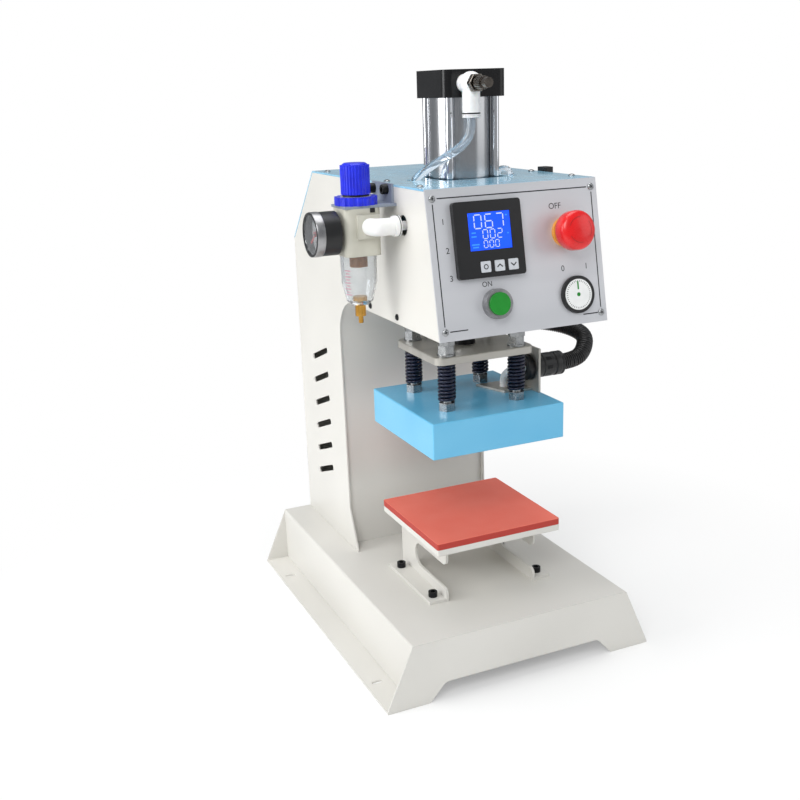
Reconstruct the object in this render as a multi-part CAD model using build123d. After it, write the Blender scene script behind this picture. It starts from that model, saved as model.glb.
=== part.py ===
from build123d import *
import math
import os

os.makedirs("parts", exist_ok=True)

# A bench hot stamping press, in millimetres. The origin is on the floor at the centre of the
# four slots in the base feet. +Z is up, -Y is the operator's side and +X is to the right.

# Sheet metal and clearances
sheet = 2.0
running_fit = 0.05
hole_slack = 0.3
gap = 0.3

# Base pan
base_length = 410.0
base_height = 70.0
base_width = 262.0
foot_span = 320.0
fold_radius = 2.5
toe_height = 20.0
toe_width = 187.0
toe_flare = 18.0
slot_length = 12.0
slot_width = 4.5
slot_pitch_x = 293.0
slot_pitch_y = 290.0

# Column and head
head_width = 187.0
head_top = 520.6
head_floor = 381.0
panel_top_y = -181.8
panel_tilt = 10.8
knee_y = 124.0
rear_y = 204.5
rear_knee_z = 434.6
column_front_y = 58.5
throat_radius = 44.0
gusset_top = 118.0
gusset_depth = 27.5
flange_depth = 14.0
vent_count = 6
vent_length = 56.0
vent_width = 7.0
vent_tilt = 20.6
vent_pitch = 30.4
vent_low_z = 146.4
vent_y = 131.0

# Lower table
table_y = -82.0
pad_depth = 144.0
pad_thickness = 7.0
plate_thickness = 6.8
leg_height = 66.0
leg_sheet = 3.0
leg_spacing = 112.0
leg_depth = 116.0
leg_offset = 4.0
leg_foot = 19.5
leg_slot_height = 27.0
leg_slot_low = 15.0
leg_column = 36.5
leg_corner = 8.0
table_bolt_y = 42.0
bolt_offset = 10.0
bolt_radius = 3.0
bolt_head_radius = 5.0
bolt_head_height = 6.0

# Ram, springs and heater
ram_y = -75.5
ram_travel = 94.5
daylight = 95.1
heater_width = 156.0
heater_depth = 155.0
heater_height = 38.5
heater_y = -78.0
heating_thickness = 20.0
cartridge_radius = 6.0
cartridge_pitch = 44.0
stud_radius = 5.0
stud_x = 42.0
stud_y = 41.0
nut_radius = 9.4
nut_height = 8.6
spring_length = 43.0
spring_diameter = 19.5
spring_wire = 3.3
spring_turns = 10
guide_width = 116.0
guide_depth = 106.0
guide_thickness = 8.0
guide_corner = 9.0
rod_radius = 10.0
rod_neck_radius = 8.0
rod_nut_radius = 12.5
rod_nut_height = 7.0
guide_rod_radius = 5.0
guide_rod_x = 22.0
guide_rod_length = 167.0
bush_radius = 6.5

# Air cylinder
cap_width = 70.0
cap_height = 26.7
cap_corner = 8.0
barrel_radius = 32.2
barrel_wall = 3.0
tie_rod_radius = 4.0
tie_rod_spacing = 52.0
mount_thickness = 10.0
piston_thickness = 15.0
cylinder_spare = 70.8

# Control panel, with s measured down the slope from its top edge
controller_size = 72.0
controller_x = -33.5
controller_s = 50.2
controller_proud = 6.0
controller_body = 67.0
controller_depth = 70.0
window_width = 45.0
window_height = 35.5
window_x = -32.5
window_s = 42.8
key_size = 10.5
key_pitch = 14.9
key_x = -26.0
key_s = 76.1
key_travel = 1.0
estop_x = 52.5
estop_s = 50.7
estop_radius = 19.0
estop_travel = 6.0
estop_gap = 2.0
estop_collar_radius = 14.5
estop_collar_height = 4.0
estop_head_height = 18.5
start_x = -31.0
start_s = 112.0
start_travel = 3.0
start_radius = 10.9
start_bezel_radius = 14.5
start_bezel_height = 8.0
selector_radius = 15.2
selector_bezel_radius = 18.5
selector_bezel_height = 3.2
selector_x = 60.5
selector_s = 112.7
thread_radius = 10.9
thread_depth = 14.0
contact_size = 28.0
contact_depth = 50.0
stem_radius = 6.0
panel_screw_x = 87.0
panel_screw_s = 9.0

# Filter regulator and gauge, left of the head
regulator_x = -128.5
regulator_y = -99.0
regulator_half = 19.0
regulator_base_z = 454.0
regulator_top_z = 500.5
knob_radius = 14.5
knob_height = 28.0
ring_radius = 21.3
ring_height = 8.0
bowl_height = 50.0
bowl_top_radius = 18.5
bowl_low_radius = 13.5
bowl_wall = 2.0
gauge_z = 477.0
gauge_radius = 21.5
gauge_depth = 26.0
neck_radius = 15.0
knob_gap = 2.0
port_boss = 4.0
gauge_stand = 4.5
gauge_rim = 2.0
needle_radius = 2.5
needle_post = 1.0
needle_length = 14.5
needle_rest = 130.0
bracket_leg_front = 13.0
bracket_leg_back = 36.0
bracket_leg_rise = 21.0
port_radius = 5.8
port_depth = 12.0
port_z = 483.0

# Hoses: outer diameters and hand-chosen routes
conduit_diameter = 18.7
conduit_bore = 14.0
conduit_pitch = 2.6
conduit_groove = 1.0
conduit_route = [(113, -92, 309), (134, -92, 309), (148, -88, 319), (157, -76, 331),
                 (150, -59, 338), (131, -42, 343), (110, -26, 345), (92, -15, 340),
                 (62, -6, 341), (62, -6, 372)]
upper_tube_diameter = 8.5
upper_tube_route = [(-13, -124, 581), (-13, -124, 568), (-18, -120.5, 556.5), (-29, -112, 547),
                    (-41, -102, 538), (-51, -90, 529), (-57, -78, 518), (-57, -78, 505)]
lower_tube_diameter = 6.0
lower_tube_route = [(44, -104, 506), (44, -104, 518), (45, -97, 525.5), (46.5, -84, 527),
                    (48, -71, 525), (49, -64, 517.5), (49, -64, 506)]

# Screws, glands and the mains inlet
screw_radius = 1.6
screw_head_radius = 3.4
screw_head_height = 2.0
screw_length = 6.0
gland_neck = 9.0
gland_nut = 13.0
inlet_x = 40.0
inlet_rise = 45.0
inlet_width = 27.5
inlet_height = 47.0
inlet_depth = 22.0

# Bracket and connector of the conduit on the heater
bracket_x = 73.5
bracket_sheet = 2.5
bracket_tail = 46.5
bracket_heel = 32.5
bracket_front = 6.0
bracket_half = 19.0
bracket_back = 37.0
bracket_rise = 24.0
connector_radius = 13.5
connector_flange = 14.5
connector_inside = 7.5
lead_radius = 4.5
lead_x = 50.0

# Air fittings and the valve on the right of the head
banjo_z = 613.4
banjo_radius = 11.0
collet_radius = 8.8
flow_neck = 4.0
flow_radius = 6.4
flow_tip_radius = 4.8
flow_step_y = -151.0
flow_end_y = -160.0
hex_back_y = -132.0
hex_front_y = -138.0
elbow_reach = 10.0
elbow_offset = 4.5
elbow_radius = 8.5
elbow_collar_radius = 10.0
elbow_neck_radius = 4.2
valve_y = -76.5
valve_width = 35.0
valve_height = 40.0
valve_depth = 21.5
valve_base_z = 455.0
coil_height = 29.5
coil_width = 16.0
coil_depth = 12.0

# Heights that follow from the sizes above
leg_top = base_height + leg_height
plate_top = leg_top + plate_thickness
pad_top = plate_top + pad_thickness
heater_bottom = pad_top + daylight
heater_top = heater_bottom + heater_height
spring_bottom = heater_top + nut_height
guide_bottom = spring_bottom + spring_length
guide_top = guide_bottom + guide_thickness
mount_top = head_floor + sheet + mount_thickness
lower_cap_top = mount_top + cap_height
barrel_top = lower_cap_top + ram_travel + piston_thickness + cylinder_spare
cylinder_top = barrel_top + cap_height
side_inner = head_width / 2 - sheet
cap_front_y = ram_y - cap_width / 2
side_screw_z = head_floor + sheet + mount_thickness / 2
guide_rod_y = ram_y + cap_width / 2 + bush_radius + 1
inlet_z = base_height + inlet_rise
banjo_x = upper_tube_route[0][0]
banjo_y = upper_tube_route[0][1]
port_face_y = regulator_y - regulator_half - port_boss
elbow_x = regulator_x + elbow_offset
gauge_back_x = regulator_x - regulator_half - gauge_stand
gauge_face_x = gauge_back_x - gauge_depth
ring_low_z = regulator_top_z + bracket_sheet
knob_low_z = ring_low_z + ring_height + knob_gap
bowl_low_z = regulator_base_z - bowl_height
table_bolt_x = leg_spacing / 2 + bolt_offset
pad_width = leg_spacing + 2 * leg_foot - 1
lead_y = ram_y + 0.5
lead_route = [(lead_x, lead_y, heater_top - sheet), (lead_x, lead_y, heater_top + 14),
              (lead_x, conduit_route[0][1], conduit_route[0][2]),
              (bracket_x - connector_inside, conduit_route[0][1], conduit_route[0][2])]


def block(x0, x1, y0, y1, z0, z1):
    box = Box(x1 - x0, y1 - y0, z1 - z0)
    return Pos((x0 + x1) / 2, (y0 + y1) / 2, (z0 + z1) / 2) * box


def post(x, y, radius, z0, z1):
    return Pos(x, y, (z0 + z1) / 2) * Cylinder(radius, z1 - z0)


def bar_x(y, z, radius, x0, x1):
    return Pos((x0 + x1) / 2, y, z) * Rot(0, 90, 0) * Cylinder(radius, x1 - x0)


def bar_y(x, z, radius, y0, y1):
    return Pos(x, (y0 + y1) / 2, z) * Rot(90, 0, 0) * Cylinder(radius, y1 - y0)


def side_sheet(face, x0, x1):
    """A YZ outline drawn in the plane, made solid from x0 to x1."""
    return extrude(Plane.YZ.offset(x0) * face, amount=x1 - x0)


def near(shape, *points):
    """The corners of an outline that lie nearest the given points."""
    return [shape.vertices().sort_by_distance(Vector(*point))[0] for point in points]


def mirrored(shape):
    return mirror(shape, about=Plane.YZ)


def write(name, *solids):
    shape = solids[0] if len(solids) == 1 else Compound(children=list(solids))
    export_step(shape, f"parts/{name}.step")


panel_plane = Plane(
    origin=(0, panel_top_y, head_top),
    x_dir=(1, 0, 0),
    z_dir=(0, -math.cos(math.radians(panel_tilt)), math.sin(math.radians(panel_tilt))),
)
panel_slope = (head_top - head_floor) / math.cos(math.radians(panel_tilt))
panel_bottom_y = panel_top_y - (head_top - head_floor) * math.tan(math.radians(panel_tilt))


def on_panel(x, s, shape):
    """Places a shape drawn about the panel's face, with z standing out of it."""
    return panel_plane * Pos(x, -s, 0) * shape


def disc(radius, z0, z1):
    return Pos(0, 0, (z0 + z1) / 2) * Cylinder(radius, z1 - z0)


def slab(width, height, z0, z1, corner=0.0):
    outline = Rectangle(width, height)
    if corner > 0:
        outline = RectangleRounded(width, height, corner)
    return Pos(0, 0, z0) * extrude(outline, amount=z1 - z0)


ahead_of_panel = on_panel(0, 0, block(-head_width, head_width, -2 * panel_slope,
                                      panel_slope, -sheet, panel_slope))


# Base pan: top, two side walls with feet, and two end walls with a toe cut-out.
def make_base_pan():
    half_length = base_length / 2
    half_width = base_width / 2
    half_foot = foot_span / 2
    outer = block(-half_width, half_width, -half_length, half_length, 0, base_height)
    folds = outer.edges().filter_by(Axis.Y).group_by(Axis.Z)[-1]
    outer = fillet(folds, fold_radius)
    inner = block(-half_width + sheet, half_width - sheet, -half_length, half_length,
                  -1, base_height - sheet)
    pan = outer - inner
    pan += block(-half_foot, half_foot, -half_length, half_length, 0, sheet)
    pan -= inner
    gusset = Polyline((half_width - sheet, 0), (half_foot, 0), (half_foot, sheet),
                      (half_width, base_height - fold_radius),
                      (half_width - sheet, base_height - fold_radius), close=True)
    wing = make_face(gusset)
    wall = Rectangle(base_width - sheet, base_height - sheet, align=(Align.CENTER, Align.MIN))
    wall = wall + wing + mirror(wing, about=Plane.YZ)
    toe = make_face(Polyline((-toe_width / 2 - toe_flare, 0), (toe_width / 2 + toe_flare, 0),
                             (toe_width / 2, toe_height), (-toe_width / 2, toe_height),
                             close=True))
    toe = fillet(near(toe, (-toe_width / 2, toe_height), (toe_width / 2, toe_height)),
                 toe_height / 2)
    wall = wall - toe
    for y in (-half_length, half_length - sheet):
        pan += extrude(Plane.XZ.offset(-y) * wall, amount=-sheet)
    slot = extrude(SlotOverall(slot_length, slot_width), amount=3 * sheet, both=True)
    for x in (-slot_pitch_x / 2, slot_pitch_x / 2):
        for y in (-slot_pitch_y / 2, slot_pitch_y / 2):
            pan -= Pos(x, y, 0) * slot
    for x, y in table_bolt_places():
        pan -= post(x, y, bolt_radius + hole_slack, 0, base_height + 1)
    return pan


def table_bolt_places():
    middle = table_y + leg_offset
    return [(x, y) for x in (-table_bolt_x, table_bolt_x)
            for y in (middle - table_bolt_y, middle + table_bolt_y)]


# The two plates of the column and head, each with its vents and folded flanges.
def cover_band():
    outer = [(panel_top_y - sheet, head_top), (knee_y, head_top), (rear_y, rear_knee_z)]
    slope = Vector(rear_y - knee_y, rear_knee_z - head_top).normalized()
    inward = Vector(slope.Y, -slope.X)
    end = Vector(rear_y, rear_knee_z) + inward * sheet
    bend = math.tan(math.radians(Vector(1, 0).get_angle(slope)) / 2) * sheet
    inner = [(end.X, end.Y), (knee_y - bend, head_top - sheet),
             (panel_top_y - sheet, head_top - sheet)]
    return make_face(Polyline(*outer, *inner, close=True))


def make_side_plate():
    """The right-hand plate; the left one is its mirror image."""
    outline = make_face(Polyline(
        (panel_bottom_y, head_floor), (column_front_y, head_floor),
        (column_front_y - 5.5, gusset_top), (column_front_y - gusset_depth, base_height),
        (rear_y, base_height), (rear_y, rear_knee_z), (knee_y, head_top),
        (panel_top_y, head_top), close=True))
    outline = fillet(near(outline, (column_front_y, head_floor)), throat_radius)
    plate = side_sheet(outline, side_inner, head_width / 2)
    cover = side_sheet(cover_band(), -head_width, head_width)
    plate -= cover
    flange_top = head_top - sheet
    plate += block(side_inner - flange_depth, side_inner, panel_top_y + flange_depth,
                   knee_y - flange_depth, flange_top - sheet, flange_top)
    lip = block(side_inner - flange_depth, side_inner, flange_depth / 2 - panel_slope,
                -flange_depth / 2, -2 * sheet, -sheet)
    plate += panel_plane * lip
    plate -= ahead_of_panel
    for x, s in panel_screw_places():
        plate -= on_panel(x, s, disc(screw_radius + hole_slack, -4 * sheet, sheet))
    for x, y in cover_screw_places():
        plate -= post(x, y, screw_radius + hole_slack, flange_top - 2 * sheet, head_top)
    for y in side_screw_places():
        plate -= bar_x(y, side_screw_z, screw_radius + hole_slack, side_inner - sheet, head_width)
    vent = extrude(Plane.YZ * SlotOverall(vent_length, vent_width), amount=head_width)
    for row in range(vent_count):
        z = vent_low_z + row * vent_pitch
        plate -= Pos(0, vent_y, z) * Rot(-vent_tilt, 0, 0) * vent
    return plate


def panel_screw_places():
    return [(x, s) for x in (-panel_screw_x, panel_screw_x)
            for s in (panel_screw_s, panel_slope - panel_screw_s)]


def cover_screw_places():
    x = side_inner - flange_depth / 2
    front = panel_top_y + 2 * flange_depth
    return [(side * x, y) for side in (-1, 1) for y in (front, ram_y, knee_y - 2 * flange_depth)]


def side_screw_places():
    return [ram_y - cap_width / 2, ram_y + cap_width / 2]


# The L-shaped sheet between the plates: head floor, throat bend and column front.
def make_column_front():
    band = make_face(Polyline(
        (panel_bottom_y, head_floor), (column_front_y, head_floor),
        (column_front_y, base_height), (column_front_y + sheet, base_height),
        (column_front_y + sheet, head_floor + sheet), (panel_bottom_y, head_floor + sheet),
        close=True))
    band = fillet(near(band, (column_front_y, head_floor)), throat_radius)
    corner = near(band, (column_front_y + sheet, head_floor + sheet))
    band = fillet(corner, throat_radius + sheet)
    front = side_sheet(band, -side_inner, side_inner)
    front -= ahead_of_panel
    front -= post(0, ram_y, rod_radius + sheet, head_floor - 1, mount_top)
    for x in (-guide_rod_x, guide_rod_x):
        front -= post(x, guide_rod_y, bush_radius + running_fit, head_floor - 1, mount_top)
    gland_x, gland_y, _ = conduit_route[-1]
    front -= post(gland_x, gland_y, gland_neck + running_fit, head_floor - 1, mount_top)
    return front


def make_mount_plate():
    back = guide_rod_y + bush_radius + 4
    plate = block(-side_inner, side_inner, cap_front_y - mount_thickness, back,
                  head_floor + sheet, mount_top)
    plate -= post(0, ram_y, rod_radius + sheet, head_floor, mount_top + 1)
    for x in (-guide_rod_x, guide_rod_x):
        plate -= post(x, guide_rod_y, bush_radius + running_fit, head_floor, mount_top + 1)
    for x, y in tie_rod_places():
        plate -= post(x, y, tie_rod_radius + running_fit, mount_top - mount_thickness, mount_top + 1)
    for y in side_screw_places():
        for side in (-1, 1):
            end = side * side_inner
            start = end - side * screw_length
            plate -= bar_x(y, side_screw_z, screw_radius + running_fit, min(start, end),
                           max(start, end))
    return plate


def make_rear_cover():
    cover = block(-side_inner, side_inner, rear_y - sheet, rear_y, base_height,
                  rear_knee_z - 2 * sheet)
    cover -= block(inlet_x - inlet_width / 2, inlet_x + inlet_width / 2, rear_y - 2 * sheet,
                   rear_y + sheet, inlet_z - inlet_height / 2, inlet_z + inlet_height / 2)
    return cover


def make_power_inlet():
    """A three-pin mains inlet with a flange, a socket and its pins."""
    flange = block(inlet_x - inlet_width / 2 - 1.5, inlet_x + inlet_width / 2 + 1.5, rear_y,
                   rear_y + sheet, inlet_z - inlet_height / 2 - 3, inlet_z + inlet_height / 2 + 3)
    body = block(inlet_x - inlet_width / 2 + gap, inlet_x + inlet_width / 2 - gap,
                 rear_y - inlet_depth, rear_y, inlet_z - inlet_height / 2 + gap,
                 inlet_z + inlet_height / 2 - gap)
    inlet = flange + body
    inlet -= block(inlet_x - 12, inlet_x + 12, rear_y - 16, rear_y + 2 * sheet,
                   inlet_z - 8, inlet_z + 8)
    for x, z in ((-7, -3), (0, 3), (7, -3)):
        inlet += block(inlet_x + x - 1, inlet_x + x + 1, rear_y - inlet_depth + 1, rear_y - 2,
                       inlet_z + z - 2, inlet_z + z + 2)
    return inlet


# Lid with the opening for the cylinder and the holes that the air tubes pass through.
def make_top_cover():
    cover = side_sheet(cover_band(), -head_width / 2, head_width / 2)
    cover -= ahead_of_panel
    opening = slab(cap_width + 2 * sheet, cap_width + 2 * sheet, 0, 6 * sheet, cap_corner)
    cover -= Pos(0, ram_y, head_top - 3 * sheet) * opening
    for (x, y), radius in tube_holes():
        cover -= post(x, y, radius, head_top - 2 * sheet, head_top + sheet)
    for x, y in cover_screw_places():
        cover -= post(x, y, screw_radius + hole_slack, head_top - 2 * sheet, head_top + sheet)
    return cover


def crossing(route, index):
    """Where one run of a route passes the middle of the lid."""
    (x0, y0, z0), (x1, y1, z1) = route[index], route[index + 1]
    share = (head_top - sheet / 2 - z0) / (z1 - z0)
    return x0 + share * (x1 - x0), y0 + share * (y1 - y0)


def tube_holes():
    upper = upper_tube_diameter / 2 + 3.5
    lower = lower_tube_diameter / 2 + 2.5
    return [(crossing(upper_tube_route, 5), upper), (crossing(lower_tube_route, 1), lower),
            (crossing(lower_tube_route, 4), lower)]


def make_front_panel():
    panel = block(-head_width / 2, head_width / 2, -panel_slope, 0, -sheet, 0)
    panel -= Pos(controller_x, -controller_s, 0) * slab(
        controller_body + 2 * gap, controller_body + 2 * gap, -2 * sheet, sheet)
    for x, s in switch_places():
        panel -= Pos(x, -s, 0) * disc(thread_radius + running_fit, -2 * sheet, sheet)
    for x, s in panel_screw_places():
        panel -= Pos(x, -s, 0) * disc(screw_radius + hole_slack, -2 * sheet, sheet)
    return panel_plane * panel


def switch_places():
    return [(estop_x, estop_s), (start_x, start_s), (selector_x, selector_s)]


def make_frame_screws():
    screw = disc(screw_head_radius, 0, screw_head_height) + disc(screw_radius, -screw_length, 0)
    screws = [on_panel(x, s, screw) for x, s in panel_screw_places()]
    screws += [Pos(x, y, head_top) * screw for x, y in cover_screw_places()]
    for y in side_screw_places():
        screws.append(Pos(head_width / 2, y, side_screw_z) * Rot(0, 90, 0) * screw)
        screws.append(Pos(-head_width / 2, y, side_screw_z) * Rot(0, -90, 0) * screw)
    return screws


# Cylinder: two square caps, a barrel between them, and four tie rods into the mount plate.
def tie_rod_places():
    half = tie_rod_spacing / 2
    return [(x, ram_y + y) for x in (-half, half) for y in (-half, half)]


def make_cap(z0, through_hole):
    cap = Pos(0, ram_y, z0) * slab(cap_width, cap_width, 0, cap_height, cap_corner)
    for x, y in tie_rod_places():
        cap -= post(x, y, tie_rod_radius + running_fit, z0 - 1, z0 + cap_height + 1)
    if through_hole:
        cap -= post(0, ram_y, rod_radius + running_fit, z0 - 1, z0 + cap_height + 1)
    return cap


def make_barrel():
    barrel = post(0, ram_y, barrel_radius, lower_cap_top, barrel_top)
    return barrel - post(0, ram_y, barrel_radius - barrel_wall, lower_cap_top - 1, barrel_top + 1)


def make_tie_rods():
    bottom = mount_top - mount_thickness + sheet
    socket = extrude(RegularPolygon(tie_rod_radius / 2, 6), amount=5)
    rods = []
    for x, y in tie_rod_places():
        rod = post(x, y, tie_rod_radius, bottom, cylinder_top)
        rods.append(rod - Pos(x, y, cylinder_top - 3) * socket)
    return rods


def make_air_fittings():
    """The banjo at the cylinder, the elbow at the regulator and two unions in the head."""
    banjo = bar_y(banjo_x, banjo_z, collet_radius, banjo_y, cap_front_y)
    banjo += Pos(banjo_x, banjo_y, banjo_z) * Sphere(banjo_radius)
    banjo += post(banjo_x, banjo_y, collet_radius, upper_tube_route[0][2], banjo_z)
    hexagon = Plane.XZ.offset(-hex_back_y) * RegularPolygon(flow_radius + 2.5, 6)
    banjo += Pos(banjo_x, 0, banjo_z) * extrude(hexagon, amount=hex_back_y - hex_front_y)
    banjo += bar_y(banjo_x, banjo_z, 6.0, hex_back_y - 1, banjo_y)
    banjo -= bar_y(banjo_x, banjo_z, flow_neck + running_fit, hex_front_y - 1, banjo_y)
    elbow_y = port_face_y - elbow_reach
    wall_x = -head_width / 2
    bend = FilletPolyline((elbow_x, port_face_y, port_z), (elbow_x, elbow_y, port_z),
                          (wall_x - 8, elbow_y, port_z), radius=elbow_radius + 0.5)
    elbow = sweep(Plane(bend @ 0, z_dir=bend % 0) * Circle(elbow_radius), path=bend)
    elbow += bar_x(elbow_y, port_z, elbow_collar_radius, wall_x - 11, wall_x - 5)
    elbow += bar_x(elbow_y, port_z, elbow_neck_radius, wall_x - 8, -side_inner + 6)
    left_x, left_y, left_z = upper_tube_route[-1]
    left = block(-side_inner, left_x + 8, left_y - 8, left_y + 8, left_z - 15, left_z)
    front_x, front_y, right_z = lower_tube_route[0]
    back_y = lower_tube_route[-1][1]
    right = block(front_x - 6, side_inner, front_y - 6, back_y + 6, right_z - 12, right_z)
    return [banjo, elbow, left, right]


def make_flow_screw():
    """The knurled adjuster that screws into the banjo."""
    knob = bar_y(banjo_x, banjo_z, flow_radius, flow_step_y, hex_front_y - 2)
    knob += bar_y(banjo_x, banjo_z, flow_tip_radius, flow_end_y, flow_step_y)
    knob += bar_y(banjo_x, banjo_z, flow_neck, hex_front_y - 3, hex_back_y + 4)
    for step in range(16):
        angle = math.radians(step * 360 / 16)
        x = banjo_x + flow_radius * math.cos(angle)
        z = banjo_z + flow_radius * math.sin(angle)
        knob -= bar_y(x, z, 0.6, flow_step_y - 1, hex_front_y - 6)
    return knob


def make_valve():
    x0 = head_width / 2
    body = block(x0, x0 + valve_depth, valve_y - valve_width / 2, valve_y + valve_width / 2,
                 valve_base_z, valve_base_z + valve_height)
    coil_z = valve_base_z + valve_height
    coil = block(x0 + 2, x0 + 2 + coil_depth, valve_y - coil_width / 2, valve_y + coil_width / 2,
                 coil_z, coil_z + coil_height)
    return body, fillet(coil.edges().filter_by(Axis.Z), 3)


# Temperature controller with its window and three keys.
def make_controller():
    case = slab(controller_size, controller_size, 0, controller_proud, 3)
    case += slab(controller_body, controller_body, -controller_depth, 0)
    case = on_panel(controller_x, controller_s, case)
    case -= on_panel(window_x, window_s, slab(window_width, window_height,
                                              controller_proud - 1.2, 2 * controller_proud))
    for index in (-1, 0, 1):
        pocket = slab(key_size + 0.2, key_size + 0.2, 1.2, 2 * controller_proud)
        case -= on_panel(key_x + index * key_pitch, key_s, pocket)
    return case


def make_key(index):
    key = slab(key_size, key_size, 1.5 + key_travel, controller_proud + 0.8, 1.2)
    return on_panel(key_x + index * key_pitch, key_s, key)


def make_windows():
    lcd = on_panel(window_x, window_s, slab(window_width - 0.2, window_height - 0.2,
                                            controller_proud - 1.2, controller_proud - 0.1))
    glass = bar_x(regulator_y, gauge_z, gauge_radius - gauge_rim, gauge_face_x + 1,
                  gauge_face_x + 2.5)
    return [lcd, glass]


def threaded_body(bore):
    return disc(thread_radius, -thread_depth, 0) - disc(bore, -thread_depth - 1, 1)


def make_estop():
    """The collar, the stem that is pushed in and the head that turns on it."""
    collar = disc(estop_collar_radius, 0, estop_collar_height)
    collar -= disc(stem_radius + running_fit, -1, estop_collar_height + 1)
    collar += threaded_body(stem_radius + running_fit)
    head_low = estop_collar_height + estop_travel + estop_gap
    head_top_z = head_low + estop_head_height
    stem = disc(stem_radius, -thread_depth, head_low + 8)
    stem += disc(stem_radius + 3.5, head_low - 1.5, head_low - gap)
    profile = make_face(Polyline((0, head_low), (estop_radius - 1.5, head_low),
                                 (estop_radius, head_low + 2), (estop_radius, head_top_z - 7.5),
                                 (estop_radius - 2.5, head_top_z - 3.5),
                                 (estop_radius * 0.55, head_top_z - 0.5), (0, head_top_z),
                                 close=True))
    head = revolve(Plane.XZ * profile, Axis.Z)
    head -= disc(stem_radius + running_fit, head_low - 1, head_low + 8 + gap)
    return [on_panel(estop_x, estop_s, part) for part in (collar, stem, head)]


def make_start():
    bezel = disc(start_bezel_radius, 0, start_bezel_height)
    bezel -= disc(start_radius + running_fit, 2, start_bezel_height + 1)
    bezel -= disc(stem_radius + running_fit, -1, 3)
    bezel += threaded_body(stem_radius + running_fit)
    button = disc(start_radius, 2 + start_travel + gap, start_bezel_height + 2)
    button += disc(stem_radius, -thread_depth + 2, start_bezel_height - 2)
    return [on_panel(start_x, start_s, part) for part in (bezel, button)]


def make_selector():
    bezel = disc(selector_bezel_radius, 0, selector_bezel_height)
    bezel -= disc(selector_radius + running_fit, 1, selector_bezel_height + 1)
    bezel -= disc(stem_radius + running_fit, -1, 2)
    bezel += threaded_body(stem_radius + running_fit)
    knob = disc(selector_radius, 1 + gap, selector_bezel_height + 0.2)
    knob += disc(stem_radius, -thread_depth + 2, 2)
    return [on_panel(selector_x, selector_s, part) for part in (bezel, knob)]


def make_contact_blocks():
    block_body = slab(contact_size, contact_size, -contact_depth, -sheet, 2)
    block_body -= disc(thread_radius + running_fit, -thread_depth - estop_travel - 2, 0)
    return [on_panel(x, s, block_body) for x, s in switch_places()]


# Filter regulator: bracket, body, ring, knob, bowl, element, drain and gauge.
def make_regulator_bracket():
    face_x = -head_width / 2
    arm = block(regulator_x - regulator_half, face_x, regulator_y - regulator_half,
                regulator_y + regulator_half, regulator_top_z, regulator_top_z + bracket_sheet)
    leg = block(face_x - bracket_sheet, face_x, regulator_y - bracket_leg_front,
                regulator_y + bracket_leg_back, regulator_top_z, regulator_top_z + bracket_leg_rise)
    hole = post(regulator_x, regulator_y, neck_radius + running_fit, regulator_top_z - 1,
                regulator_top_z + 2 * bracket_sheet)
    return arm + leg - hole


def make_regulator_body():
    body = Pos(regulator_x, regulator_y, regulator_base_z) * slab(
        2 * regulator_half, 2 * regulator_half, 0, regulator_top_z - regulator_base_z, 7)
    body += post(regulator_x, regulator_y, neck_radius, regulator_top_z - 1, ring_low_z + ring_height)
    body += post(regulator_x, regulator_y, 9, ring_low_z, knob_low_z - gap)
    for y0, y1 in ((port_face_y, regulator_y), (regulator_y, 2 * regulator_y - port_face_y)):
        body += block(regulator_x - 8, regulator_x + 15, y0, y1, port_z - 11.5, port_z + 11.5)
    inlet_y = 2 * regulator_y - port_face_y
    body -= bar_y(regulator_x, port_z, port_radius, inlet_y - port_depth, inlet_y + 1)
    return body


def make_regulator_ring():
    outline = Circle(ring_radius)
    for place in PolarLocations(ring_radius + 2.2, 16):
        outline -= place * Circle(3.4)
    outline -= Circle(neck_radius + running_fit)
    return Pos(regulator_x, regulator_y, ring_low_z) * extrude(outline, amount=ring_height)


def make_regulator_knob():
    outline = Circle(knob_radius - 0.7)
    for place in PolarLocations(knob_radius - 0.9, 30):
        outline += place * Circle(0.9)
    knob = extrude(outline, amount=knob_height)
    knob += Pos(0, 0, knob_height) * extrude(Circle(knob_radius - 2.5), amount=2, taper=35)
    return Pos(regulator_x, regulator_y, knob_low_z) * knob


def make_bowl():
    low = bowl_low_z
    floor = low + bowl_wall
    outer = [(4, low), (bowl_low_radius - 4, low), (bowl_low_radius, low + 4),
             (bowl_top_radius - 0.7, low + 22), (bowl_top_radius, regulator_base_z)]
    inner = [(bowl_top_radius - bowl_wall, regulator_base_z),
             (bowl_top_radius - 0.7 - bowl_wall, low + 22), (bowl_low_radius - bowl_wall, low + 5),
             (bowl_low_radius - 4 - bowl_wall, floor), (4, floor)]
    profile = Plane.XZ * make_face(Polyline(*outer, *inner, close=True))
    return Pos(regulator_x, regulator_y, 0) * revolve(profile, Axis.Z)


def make_filter_element():
    z0 = regulator_base_z - 12
    element = post(regulator_x, regulator_y, 9, z0, regulator_base_z)
    return element - post(regulator_x, regulator_y, 5, z0 - 1, regulator_base_z - 2)


def make_drain():
    low = bowl_low_z
    stem = post(regulator_x, regulator_y, 4 - running_fit, low - 6, low + bowl_wall + 4)
    nut = post(regulator_x, regulator_y, 7, low + bowl_wall + gap, low + bowl_wall + 6)
    collar = post(regulator_x, regulator_y, 5.5, low - 12, low - gap)
    tip = post(regulator_x, regulator_y, 2.5, low - 19.4, low - 6)
    return stem + nut + collar + tip


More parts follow.
